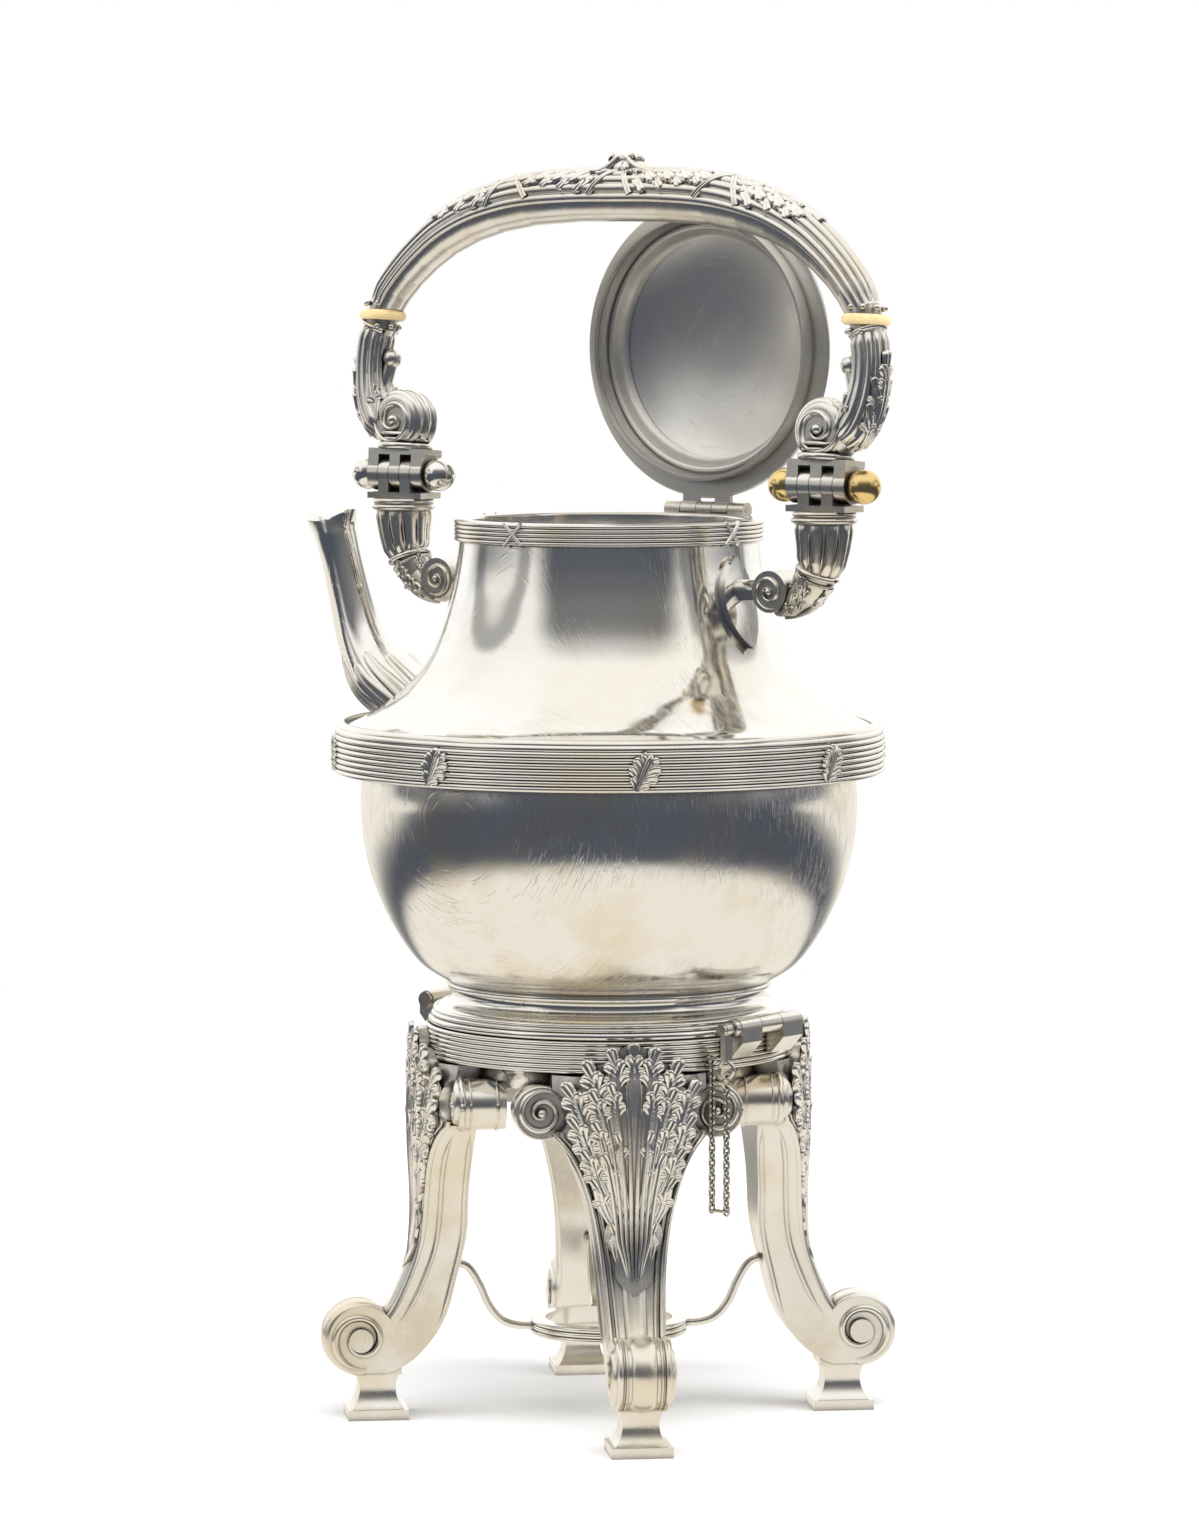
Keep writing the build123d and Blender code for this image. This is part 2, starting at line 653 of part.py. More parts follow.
def offset_points(points, distance):
    """An outline moved square to itself, away from the axis where the distance is positive."""
    moved = []
    last = len(points) - 1
    for index, (r, z) in enumerate(points):
        before = points[max(index - 1, 0)]
        after = points[min(index + 1, last)]
        run_r = after[0] - before[0]
        run_z = after[1] - before[1]
        length = hypot(run_r, run_z)
        moved.append((r + distance * run_z / length, z - distance * run_r / length))
    return moved


def skin(points, wall):
    """A turned shell: the outline is its outer face, and the wall goes inward from it."""
    outer = Spline(*points)
    inside = offset_points(points, -wall)
    inner = Spline(*inside)
    return turned(outer, Line(outer @ 1, inner @ 1), inner, Line(inner @ 0, outer @ 0))


def neck_envelope(extra=0.0):
    """Everything inside the neck and shoulder, grown by a small distance."""
    points = offset_points(NECK_LINE, extra)
    outer = Spline(*points)
    top = points[-1]
    low = points[0]
    return turned(
        outer, *Polyline(top, (0, top[1]), (0, low[1]), low).edges()
    )


def band_crown_edges():
    """The bead on top of the band, from its outer side over to its inner side."""
    root = BAND_R - REED_DEPTH
    return [
        Line((root, BAND_REEDS_TOP), (root, BAND_TOP - 2.1)),
        ThreePointArc(
            (root, BAND_TOP - 2.1), (root - 0.8, BAND_TOP - 0.5), (root - 2.2, BAND_TOP)
        ),
        ThreePointArc(
            (root - 2.2, BAND_TOP), (root - 2.9, BAND_TOP - 0.5), (root - 3.1, BAND_TOP - 1.2)
        ),
    ]


def band_envelope():
    """Everything inside the shoulder band and its clasps."""
    root = BAND_R - REED_DEPTH
    crest = BAND_R + CLASP_OUT
    return turned(
        *Polyline(
            (0, BAND_BOTTOM), (crest, BAND_BOTTOM), (crest, BAND_REEDS_TOP), (root, BAND_REEDS_TOP)
        ).edges(),
        *band_crown_edges(),
        *Polyline((root - 3.1, BAND_TOP - 1.2), (0, BAND_TOP - 1.2), (0, BAND_BOTTOM)).edges(),
    )


def bowl_envelope():
    """Everything inside the bowl."""
    outer = Spline(*BOWL_LINE)
    low = BOWL_LINE[0]
    floor = low[1] - BOWL_FLOOR_DROP
    return turned(
        outer,
        *Polyline(
            outer @ 1, (0, BAND_BOTTOM), (0, floor), (low[0] - 12, floor), low
        ).edges(),
    )


def kettle_bowl():
    """The round bowl with its flat floor inside the foot."""
    outer = Spline(*BOWL_LINE)
    inner = Spline(*offset_points(BOWL_LINE, -WALL))
    low = BOWL_LINE[0]
    floor = low[1] - BOWL_FLOOR_DROP
    top_out = outer @ 1
    return turned(
        outer,
        Line(top_out, (top_out.X - WALL, BAND_BOTTOM)),
        Line((top_out.X - WALL, BAND_BOTTOM), inner @ 1),
        inner,
        *Polyline(
            inner @ 0, (low[0] - 12, floor + WALL), (0, floor + WALL), (0, floor),
            (low[0] - 12, floor), low,
        ).edges(),
    )


def shoulder_band():
    """The reeded band round the shoulder, a hollow moulding with a bead on top."""
    root = BAND_R - REED_DEPTH
    inner = root - BAND_WALL
    bowl_in = BOWL_LINE[-1][0] - WALL
    return turned(
        Line((bowl_in, BAND_BOTTOM), (root, BAND_BOTTOM)),
        *reed_edges(BAND_R, REED_DEPTH, BAND_BOTTOM, BAND_REEDS_TOP, BAND_REEDS),
        *band_crown_edges(),
        *Polyline(
            (root - 3.1, BAND_TOP - 1.2), (root - 3.1, BAND_TOP - 2.3), (inner, BAND_TOP - 2.3),
            (inner, BAND_BOTTOM + BAND_WALL), (bowl_in, BAND_BOTTOM + BAND_WALL),
            (bowl_in, BAND_BOTTOM),
        ).edges(),
    )


def kettle_neck(bore):
    """The shoulder and neck in one shell, pierced behind the spout."""
    shell = skin(NECK_LINE, WALL) - bore
    return shell.solids().sort_by(SortBy.VOLUME)[-1]


def collar_band():
    """The reeded collar round the kettle's mouth."""
    root = COLLAR_R - REED_DEPTH
    return turned(
        Line((COLLAR_BORE_R, COLLAR_BOTTOM), (root, COLLAR_BOTTOM)),
        *reed_edges(COLLAR_R, REED_DEPTH, COLLAR_BOTTOM, COLLAR_TOP, COLLAR_REEDS),
        Line((root, COLLAR_TOP), (COLLAR_BORE_R, COLLAR_TOP)),
        Line((COLLAR_BORE_R, COLLAR_TOP), (COLLAR_BORE_R, COLLAR_BOTTOM)),
    )


def collar_envelope():
    """Everything inside the collar's crests."""
    high = COLLAR_TOP - COLLAR_BOTTOM
    return Pos(0, 0, COLLAR_BOTTOM + high / 2) * Cylinder(COLLAR_R, high)


def ring_shell(inner_r, outer_r, low, high):
    """A plain hoop."""
    outer = Cylinder(outer_r, high - low)
    hoop = outer - Cylinder(inner_r, high - low)
    return Pos(0, 0, (low + high) / 2) * hoop


def collar_ribbon_crosses():
    """Three crossed ribbons tied over the collar; the lid hinge takes the fourth place."""
    high = COLLAR_TOP - COLLAR_BOTTOM
    middle = (COLLAR_TOP + COLLAR_BOTTOM) / 2
    hoop = ring_shell(COLLAR_R, COLLAR_R + RIBBON_OUT, COLLAR_BOTTOM, COLLAR_TOP)
    strip = Box(8.0, RIBBON_WIDE, 2 * high)
    cross = Pos(COLLAR_R, 0, middle) * (Rot(42, 0, 0) * strip + Rot(-42, 0, 0) * strip)
    pieces = []
    for bearing in (-90, 0, 180):
        pieces.append((Rot(0, 0, bearing) * cross) & hoop)
    return gathered(pieces)


def clasp_outline():
    """The lobed outline of one leaf clasp on the band."""
    half_high = (BAND_REEDS_TOP - BAND_BOTTOM) / 2
    points = [(0, -half_high), (3.2, -3.2), (4.0, 0.6), (3.0, 3.6), (0, half_high)]
    tips = [(2.6, -5.0), (4.6, -1.4), (4.5, 2.4), (2.2, 5.2)]
    edges = []
    for index, tip in enumerate(tips):
        edges.append(ThreePointArc(points[index], tip, points[index + 1]))
    edges.append(Line(points[-1], points[0]))
    half = make_face(edges)
    return half + mirror(half, about=Plane.YZ)


def band_leaf_clasps():
    """Eight leaf clasps over the band's reeds."""
    middle = (BAND_REEDS_TOP + BAND_BOTTOM) / 2
    hoop = ring_shell(BAND_R, BAND_R + CLASP_OUT, BAND_BOTTOM, BAND_REEDS_TOP)
    plate_solid = Pos(0, 0, middle) * outward(clasp_outline(), BAND_R + 5)
    pieces = []
    for index in range(CLASP_COUNT):
        pieces.append((Rot(0, 0, index * 360 / CLASP_COUNT) * plate_solid) & hoop)
    return gathered(pieces)


def foot_outline(inner_r):
    """The kettle foot's outline from its rim up to the bead under the bowl."""
    low = FOOT_BOTTOM
    rim = FOOT_RIM_R
    bead = FOOT_BEAD_R
    return [
        *Polyline(
            (inner_r, low), (rim, low), (rim, low + 1.8), (rim - 1.1, low + 2.3),
            (rim - 1.5, low + 3.8), (rim - 2.7, low + 4.0), (rim - 2.7, low + 5.2),
            (rim - 3.2, low + 5.6),
        ).edges(),
        ThreePointArc((rim - 3.2, low + 5.6), (bead - 0.7, low + 7.4), (bead - 0.9, low + 10.0)),
        ThreePointArc((bead - 0.9, low + 10.0), (bead, low + 11.0), (bead - 0.5, low + 12.0)),
        *Polyline(
            (bead - 0.5, low + 12.0), (inner_r, low + 12.0), (inner_r, low)
        ).edges(),
    ]


def kettle_foot():
    """The turned foot, a ring soldered under the bowl."""
    ring = turned(*foot_outline(FOOT_BEAD_R - 4.0))
    return (ring - bowl_envelope()).solids().sort_by(SortBy.VOLUME)[-1]


def tilt_lug(bore):
    """The kettle's middle knuckle on the rear tilt axis, with its bracket on the foot."""
    span = knuckle_spans()[1]
    outside, hole = barrel(span, bore)
    low = FOOT_BOTTOM + 0.1
    web = box_between((FOOT_RIM_R - 5, span[0], low), (TILT_R, span[1], low + 3.6))
    lug = outside + web - turned(*foot_outline(0)) - hole
    return lug.solids().sort_by(SortBy.VOLUME)[-1]


# ---- spout ----------------------------------------------------------------------------------
# (distance in front of the kettle's axis, height, diameter, slope of the run in degrees)
SPOUT_LINE = [
    (70.0, 200.5, 19.0, 65), (77.5, 205.0, 20.5, 52), (83.6, 209.4, 20.2, 52),
    (88.2, 214.2, 17.6, 57), (91.6, 219.4, 15.6, 62), (94.2, 225.2, 14.2, 68),
    (97.0, 234.0, 13.0, 72), (100.0, 244.0, 12.4, 73), (102.2, 251.0, 13.0, 76),
]
SPOUT_BORE_LINE = [
    (63.0, 196.5, 7.0, 40), (77.5, 205.5, 10.0, 42), (84.0, 211.5, 12.5, 50),
    (88.2, 215.5, 13.0, 57), (91.6, 219.8, 12.8, 62), (94.2, 225.4, 12.1, 68),
    (97.0, 234.0, 11.0, 72), (100.0, 244.0, 10.4, 73), (102.2, 251.0, 11.0, 76),
]
MOUTH_AT = 105.6
MOUTH_Z = 258.6
MOUTH_HALF_LONG = 9.9
MOUTH_HALF_WIDE = 6.3
MOUTH_DIP = 3.6
MOUTH_CUT_R = 14.0


def spout_sections(stations, grow):
    """Round sections square to the spout's run."""
    sections = []
    for x, z, size, slope in stations:
        run = (cos(radians(slope)), 0, sin(radians(slope)))
        sections.append(Plane(origin=(x, 0, z), x_dir=(0, 1, 0), z_dir=run) * Circle(size / 2 + grow))
    return sections


def spout_loft(stations, shrink):
    """A spout solid from its root up to the oval mouth."""
    sections = spout_sections(stations, 0)
    mouth = Plane(origin=(MOUTH_AT, 0, MOUTH_Z), x_dir=(0, 1, 0), z_dir=(0, 0, 1))
    sections.append(mouth * Ellipse(MOUTH_HALF_WIDE - shrink, MOUTH_HALF_LONG - shrink))
    return loft(sections, ruled=True)


def spout_bore():
    """The way through the spout, from inside the neck to above the mouth, at the rear."""
    bore = spout_loft(SPOUT_BORE_LINE, SPOUT_WALL)
    mouth = Plane(origin=(MOUTH_AT, 0, MOUTH_Z), x_dir=(0, 1, 0), z_dir=(0, 0, 1))
    above = extrude(
        mouth * Ellipse(MOUTH_HALF_WIDE - SPOUT_WALL, MOUTH_HALF_LONG - SPOUT_WALL), MOUTH_CUT_R
    )
    return bore + above


def spout(bore):
    """The swan spout, hollow, with a lip that dips between its tip and its heel, at the rear."""
    outside = spout_loft(SPOUT_LINE, 0)
    cut_z = MOUTH_Z + MOUTH_CUT_R - MOUTH_DIP
    dip = rod((MOUTH_AT, -15, cut_z), (MOUTH_AT, 15, cut_z), MOUTH_CUT_R)
    body = outside - neck_envelope() - band_envelope() - bore - dip
    return body.solids().sort_by(SortBy.VOLUME)[-1]


def spout_mount_leaf():
    """The leaf mount that wraps the spout's root on the shoulder, at the rear."""
    sleeve = loft(spout_sections(SPOUT_LINE[:MOUNT_STATIONS], MOUNT_OUT), ruled=True)
    sleeve = sleeve - spout_loft(SPOUT_LINE, 0) - neck_envelope() - band_envelope()
    return sleeve.solids().sort_by(SortBy.VOLUME)[-1]


# ---- handle mounts on the neck --------------------------------------------------------------
def neck_boss():
    """The pointed oval boss on the neck that carries the handle's arm, at the rear."""
    half_high = BOSS_HIGH / 2
    half_wide = BOSS_WIDE / 2
    outline = make_face([
        ThreePointArc((0, -half_high), (half_wide, 0), (0, half_high)),
        ThreePointArc((0, half_high), (-half_wide, 0), (0, -half_high)),
    ])
    pad = Pos(0, 0, BOSS_Z) * outward(outline, COLLAR_R + 12)
    pad = (pad & neck_envelope(BOSS_OUT)) - neck_envelope()
    pad = pad & box_between((30, -20, BOSS_Z - 20), (70, 20, BOSS_Z + 20))
    stem = rod((COLLAR_R, 0, ARM_SCROLL_Z), (ARM_SCROLL_AT - ARM_SCROLL_R + 1.5, 0, ARM_SCROLL_Z), 3.0)
    boss = pad + (stem - neck_envelope())
    return boss.solids().sort_by(SortBy.VOLUME)[-1]


ARM_LINE = [
    (ARM_SCROLL_AT + 0.3, 235.9, 7.2), (ARM_SCROLL_AT + 4.9, 236.4, 8.0),
    (ARM_SCROLL_AT + 10.1, 239.4, 9.4), (KNUCKLE_AT - 2.1, 245.2, 11.0),
    (KNUCKLE_AT - 0.4, 252.0, 13.0), (KNUCKLE_AT, 260.8, 15.6),
]


def leaf_spans(long, count):
    """Where each leaf of a knuckle lies along its pin, with side play between them."""
    pitch = long / count
    half_gap = KNUCKLE_GAP / 2
    return [
        (-long / 2 + index * pitch + half_gap, -long / 2 + (index + 1) * pitch - half_gap)
        for index in range(count)
    ]


def knuckle_half(leaves, sign, bore):
    """The leaves of one half of a handle knuckle and the block that joins them."""
    block_near = KNUCKLE_R + 0.4
    block_far = block_near + 1.8
    half_wide = KNUCKLE_R - 0.4
    low, high = sorted((sign * block_near, sign * block_far))
    half_long = KNUCKLE_LONG / 2
    body = box_between(
        (KNUCKLE_AT - half_long, -half_wide, KNUCKLE_Z + low),
        (KNUCKLE_AT + half_long, half_wide, KNUCKLE_Z + high),
    )
    for index in leaves:
        start, end = leaf_spans(KNUCKLE_LONG, KNUCKLE_LEAVES)[index]
        a = KNUCKLE_AT + start
        b = KNUCKLE_AT + end
        body = body + rod((a, 0, KNUCKLE_Z), (b, 0, KNUCKLE_Z), KNUCKLE_R)
        low, high = sorted((0, sign * block_near))
        body = body + box_between(
            (a, -half_wide, KNUCKLE_Z + low), (b, half_wide, KNUCKLE_Z + high)
        )
    hole = rod(
        (KNUCKLE_AT - half_long - 1, 0, KNUCKLE_Z), (KNUCKLE_AT + half_long + 1, 0, KNUCKLE_Z), bore
    )
    return body - hole


def handle_arm(boss):
    """The fluted horn arm from a neck boss up to its half of the knuckle, at the rear."""
    half_wide = ARM_SCROLL_WIDE / 2
    scroll = rod(
        (ARM_SCROLL_AT, -half_wide, ARM_SCROLL_Z), (ARM_SCROLL_AT, half_wide, ARM_SCROLL_Z), ARM_SCROLL_R
    )
    block_low = KNUCKLE_Z - KNUCKLE_R - 2.2
    collar = rod((KNUCKLE_AT, 0, block_low - 3.4), (KNUCKLE_AT, 0, block_low), 8.6)
    body = tube_loft(ARM_LINE) + scroll + collar
    body = body + knuckle_half((1, 3), -1, KNUCKLE_PIN_R + RUN_FIT)
    return (body - boss).solids().sort_by(SortBy.VOLUME)[-1]


# ---- handle ---------------------------------------------------------------------------------
GRIP_HALF = [
    (0.0, 350.5, 14.0), (16.0, 350.4, 14.2), (32.5, 349.4, 14.2), (45.0, 347.2, 13.8),
    (55.5, 344.0, 13.2), (65.0, 339.4, 12.4), (INSULATOR_AT - 14.9, 334.0, 11.6),
    (INSULATOR_AT - 9.1, 328.8, 11.0), (INSULATOR_AT - 4.5, 323.6, 10.6),
    (INSULATOR_AT - 1.3, 318.6, 10.2), (INSULATOR_AT + 0.1, 313.4, 10.0),
]
BAIL_LINE = [
    (INSULATOR_AT - 0.3, 318.5, 9.8), (INSULATOR_AT + 1.1, 312.0, 9.8),
    (INSULATOR_AT + 2.3, 305.5, 9.6), (INSULATOR_AT + 2.3, 298.5, 9.8),
    (INSULATOR_AT + 0.9, 291.5, 10.8), (BULB_AT + 8.6, 285.6, 11.4),
    (BULB_AT + 4.6, 282.6, 10.6), (BULB_AT, 282.0, 9.0),
]


def lean(shape):
    """Swing a piece of the handle from upright to its place at rest."""
    return shape.rotate(Axis((0, 0, KNUCKLE_Z), (1, 0, 0)), -HANDLE_SWING)


def insulator_ring():
    """The ivory ring between grip and bail, with the tenon that joins them, at the rear."""
    half = INSULATOR_HIGH / 2
    disc = Pos(INSULATOR_AT, 0, INSULATOR_Z) * Cylinder(INSULATOR_R, INSULATOR_HIGH)
    disc = fillet(disc.edges(), half * 0.9)
    return disc + insulator_tenon()


def insulator_tenon():
    """The tenon above and below an ivory ring."""
    reach = INSULATOR_HIGH / 2 + TENON_LONG
    return rod(
        (INSULATOR_AT, 0, INSULATOR_Z - reach), (INSULATOR_AT, 0, INSULATOR_Z + reach), TENON_R
    )


def grip():
    """The grip, from one ivory ring over to the other."""
    mirrored = [(-x, z, size) for x, z, size in reversed(GRIP_HALF[1:])]
    body = tube_loft(mirrored + GRIP_HALF)
    end_z = INSULATOR_Z + INSULATOR_HIGH / 2
    body = body - box_between((-150, -30, end_z - 30), (150, 30, end_z))
    tenon = insulator_tenon()
    return body - tenon - facing_front(tenon)


def grip_crest(grip_body):
    """Two small scrolls back to back on top of the grip."""
    top = GRIP_HALF[0][1] + GRIP_HALF[0][2] / 2
    roll_r = 2.7
    half_wide = 3.2
    body = box_between((-4.6, -half_wide, top - 3), (4.6, half_wide, top + 1.6))
    for sign in (1, -1):
        at = sign * (roll_r + 0.9)
        body = body + rod((at, -half_wide, top + 3.8), (at, half_wide, top + 3.8), roll_r)
    return (body - grip_body).solids().sort_by(SortBy.VOLUME)[-1]


def bail_section():
    """The lower side of the handle: reeded rod, bud, volute bulb and knuckle half, at the rear."""
    half_wide = BULB_WIDE / 2
    bulb = rod((BULB_AT, -half_wide, BULB_Z), (BULB_AT, half_wide, BULB_Z), BULB_R)
    bulb = fillet(bulb.edges(), 2.6)
    block_top = KNUCKLE_Z + KNUCKLE_R + 2.2
    waist = rod((KNUCKLE_AT, 0, block_top), (KNUCKLE_AT, 0, BULB_Z - 4), 5.6)
    collar = rod((KNUCKLE_AT, 0, block_top), (KNUCKLE_AT, 0, block_top + 1.6), 7.4)
    bud = ball((BULB_AT + 6.2, 0, BULB_Z + 18.2), 2.8)
    stalk = rod((BULB_AT + 6.2, 0, BULB_Z + 18.2), (BULB_AT + 8.5, 0, BULB_Z + 10), 2.0)
    rod_part = tube_loft(BAIL_LINE)
    end_z = INSULATOR_Z - INSULATOR_HIGH / 2
    rod_part = rod_part - box_between((50, -30, end_z), (120, 30, end_z + 20))
    body = rod_part + bulb + waist + collar + bud + stalk
    body = body + knuckle_half((0, 2, 4), 1, KNUCKLE_PIN_R)
    return (body - insulator_tenon()).solids().sort_by(SortBy.VOLUME)[-1]


def pivot_pin():
    """The pin through a handle knuckle with a ball on each end, at the rear."""
    half = KNUCKLE_LONG / 2
    start = (KNUCKLE_AT - half - 1, 0, KNUCKLE_Z)
    end = (KNUCKLE_AT + half + 1, 0, KNUCKLE_Z)
    pin = rod(start, end, KNUCKLE_PIN_R)
    for sign in (1, -1):
        face = KNUCKLE_AT + sign * half
        head = ball((KNUCKLE_AT + sign * (half + BALL_R * 0.7), 0, KNUCKLE_Z), BALL_R)
        far = face + sign * 2 * BALL_R
        low, high = sorted((face, far))
        keep = box_between((low, -BALL_R, KNUCKLE_Z - BALL_R), (high, BALL_R, KNUCKLE_Z + BALL_R))
        pin = pin + (head & keep)
    return pin


# ---- lid (shut) -----------------------------------------------------------------------------
def lid_base_z():
    """The height of the lid's underside when shut."""
    return COLLAR_TOP + SEAT_GAP


def lid_shell():
    """The domed top of the lid."""
    base = lid_base_z()
    points = [(r, base + z) for r, z in LID_LINE]
    outer = Spline(*points, tangents=[(-1, 0.6), (-1, 0)])
    inner = Spline(
        *[(r, z) for r, z in [(max(r - 0.1, 0), z - LID_WALL) for r, z in points]],
        tangents=[(-1, 0.6), (-1, 0)],
    )
    shell = turned(outer, Line(outer @ 1, inner @ 1), inner, Line(inner @ 0, outer @ 0))
    rim_top = base + LID_LINE[0][1]
    return shell - box_between((-60, -60, rim_top - 5), (60, 60, rim_top))


def lid_hinge_barrels(leaves, bore):
    """Leaves of the lid hinge, as round knuckles with a bore, and the bore's bar."""
    body = None
    for index in leaves:
        start, end = leaf_spans(LID_HINGE_LONG, LID_HINGE_LEAVES)[index]
        piece = rod((start, LID_HINGE_Y, LID_HINGE_Z), (end, LID_HINGE_Y, LID_HINGE_Z), LID_BARREL_R)
        body = piece if body is None else body + piece
    half = LID_HINGE_LONG / 2 + 1
    hole = rod((-half, LID_HINGE_Y, LID_HINGE_Z), (half, LID_HINGE_Y, LID_HINGE_Z), bore)
    return body, hole


def lid_rim():
    """The lid's flange, the bezel that drops inside the collar, and the lid's hinge knuckles."""
    base = lid_base_z()
    top = base + LID_LINE[0][1]
    bezel_in = BEZEL_R - LID_WALL
    ring = turned(
        *Polyline((bezel_in, base - BEZEL_DEEP), (BEZEL_R, base - BEZEL_DEEP), (BEZEL_R, base),
                  (LID_R - 0.5, base)).edges(),
        ThreePointArc((LID_R - 0.5, base), (LID_R, (base + top) / 2), (LID_R - 0.5, top)),
        *Polyline((LID_R - 0.5, top), (bezel_in, top), (bezel_in, base - BEZEL_DEEP)).edges(),
    )
    barrels, hole = lid_hinge_barrels((1, 3), LID_PIN_R + RUN_FIT)
    body = ring + barrels
    for index in (1, 3):
        start, end = leaf_spans(LID_HINGE_LONG, LID_HINGE_LEAVES)[index]
        body = body + box_between((start, LID_R - 3.5, base), (end, LID_HINGE_Y, top))
    return (body - hole).solids().sort_by(SortBy.VOLUME)[-1]


def lid_hinge_plate():
    """The kettle's half of the lid hinge, on the collar."""
    barrels, hole = lid_hinge_barrels((0, 2, 4), LID_PIN_R)
    half = LID_HINGE_LONG / 2
    plate_top = LID_HINGE_Z - LID_BARREL_R - SEAT_GAP
    outer_y = LID_HINGE_Y + LID_BARREL_R - 0.6
    body = barrels + box_between((-half, COLLAR_R - 5, COLLAR_BOTTOM + 1.6), (half, outer_y, plate_top))
    for index in (0, 2, 4):
        start, end = leaf_spans(LID_HINGE_LONG, LID_HINGE_LEAVES)[index]
        body = body + box_between(
            (start, LID_HINGE_Y - LID_BARREL_R, plate_top - 0.5), (end, outer_y, LID_HINGE_Z)
        )
    body = body - collar_envelope() - hole
    return body.solids().sort_by(SortBy.VOLUME)[-1]


def lid_hinge_pin():
    """The pin through the lid hinge."""
    half = LID_HINGE_LONG / 2
    return rod((-half, LID_HINGE_Y, LID_HINGE_Z), (half, LID_HINGE_Y, LID_HINGE_Z), LID_PIN_R)


def lid_finial():
    """A small turned finial on the crown of the lid."""
    foot_z = lid_base_z() + LID_LINE[-1][1]
    return turned(
        Line((0, foot_z), (4.6, foot_z)),
        Line((4.6, foot_z), (4.4, foot_z + 1.0)),
        ThreePointArc((4.4, foot_z + 1.0), (2.6, foot_z + 2.2), (1.9, foot_z + 4.4)),
        ThreePointArc((1.9, foot_z + 4.4), (FINIAL_R, foot_z + 8.6), (1.2, foot_z + 13.0)),
        *Polyline((1.2, foot_z + 13.0), (0, foot_z + 13.0), (0, foot_z)).edges(),
    )


def opened(shape):
    """Turn a piece of the lid from shut to its open place at rest."""
    return shape.rotate(Axis((0, LID_HINGE_Y, LID_HINGE_Z), (1, 0, 0)), -LID_OPEN)


# ---- the whole object -----------------------------------------------------------------------
def save_stand():
    """The stand and what is fixed to it."""
    save(stand_ring(), "stand_ring")
    save(stand_apron(), "stand_apron")
    own_leg = leg()
    pieces = {
        "leg": own_leg,
        "knee_volutes": knee_volutes(),
        "knee_leaf": knee_leaf(),
        "plinth_foot": plinth_foot(own_leg),
        "burner_strut": burner_strut(own_leg),
    }
    for index in range(LEG_COUNT):
        turn = Rot(0, 0, LEG_START + index * 360 / LEG_COUNT)
        for name, shape in pieces.items():
            save(turn * shape, f"{name}_{index + 1}")
    save(burner_ring(), "burner_ring")
    save(hinge_ears(TILT_PIN_R + RUN_FIT), "rear_hinge_ears")
    save(facing_front(hinge_ears(TILT_PIN_R)), "front_hinge_ears")
    save(front_hinge_pin(), "front_hinge_pin")
    save(chain_staple(), "chain_staple")


def save_lock():
    """The lock pin with its pull, and the two strands of its chain."""
    save(lock_pin(), "lock_pin")
    save(lock_pin_pull(), "lock_pin_pull")
    save(chain_staple_strand(), "chain_staple_strand")
    save(chain_pin_strand(), "chain_pin_strand")


def save_kettle():
    """The kettle and what is fixed to it."""
    bore = spout_bore()
    save(kettle_bowl(), "kettle_bowl")
    save(shoulder_band(), "shoulder_band")
    save(band_leaf_clasps(), "band_leaf_clasps")
    save(facing_front(kettle_neck(bore)), "kettle_neck")
    save(collar_band(), "collar_band")
    save(collar_ribbon_crosses(), "collar_ribbon_crosses")
    save(kettle_foot(), "kettle_foot")
    lug = tilt_lug(TILT_PIN_R + RUN_FIT)
    save(lug, "rear_hinge_lug")
    save(facing_front(lug), "front_hinge_lug")
    save(facing_front(spout(bore)), "spout")
    save(facing_front(spout_mount_leaf()), "spout_mount_leaf")
    boss = neck_boss()
    arm = handle_arm(boss)
    for name, shape in (("neck_boss", boss), ("handle_arm", arm)):
        save(shape, f"rear_{name}")
        save(facing_front(shape), f"front_{name}")
    save(lid_hinge_plate(), "lid_hinge_plate")
    save(lid_hinge_pin(), "lid_hinge_pin")


def save_handle():
    """The swing handle, leaning a little towards the lid."""
    grip_body = grip()
    save(lean(grip_body), "grip")
    save(lean(grip_crest(grip_body)), "grip_crest")
    ends = (
        ("insulator_ring", insulator_ring()),
        ("bail_section", bail_section()),
        ("pivot_pin", pivot_pin()),
    )
    for name, shape in ends:
        save(lean(shape), f"rear_{name}")
        save(lean(facing_front(shape)), f"front_{name}")


def save_lid():
    """The lid, standing open."""
    save(opened(lid_shell()), "lid_shell")
    save(opened(lid_rim()), "lid_rim")
    save(opened(lid_finial()), "lid_finial")


save_stand()
save_lock()
save_kettle()
save_handle()
save_lid()
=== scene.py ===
"""Dressed model of a spirit kettle on its stand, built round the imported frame.

Lengths inside the classes are in millimetres and become metres when a mesh is made.
The spout points along -X, the lock pin is at +X, the lid hinge at +Y, and +Z is up.
"""

import logging
import math
from dataclasses import dataclass
from enum import Enum
from typing import Callable, Sequence, Union

import bpy
from mathutils import Matrix, Vector


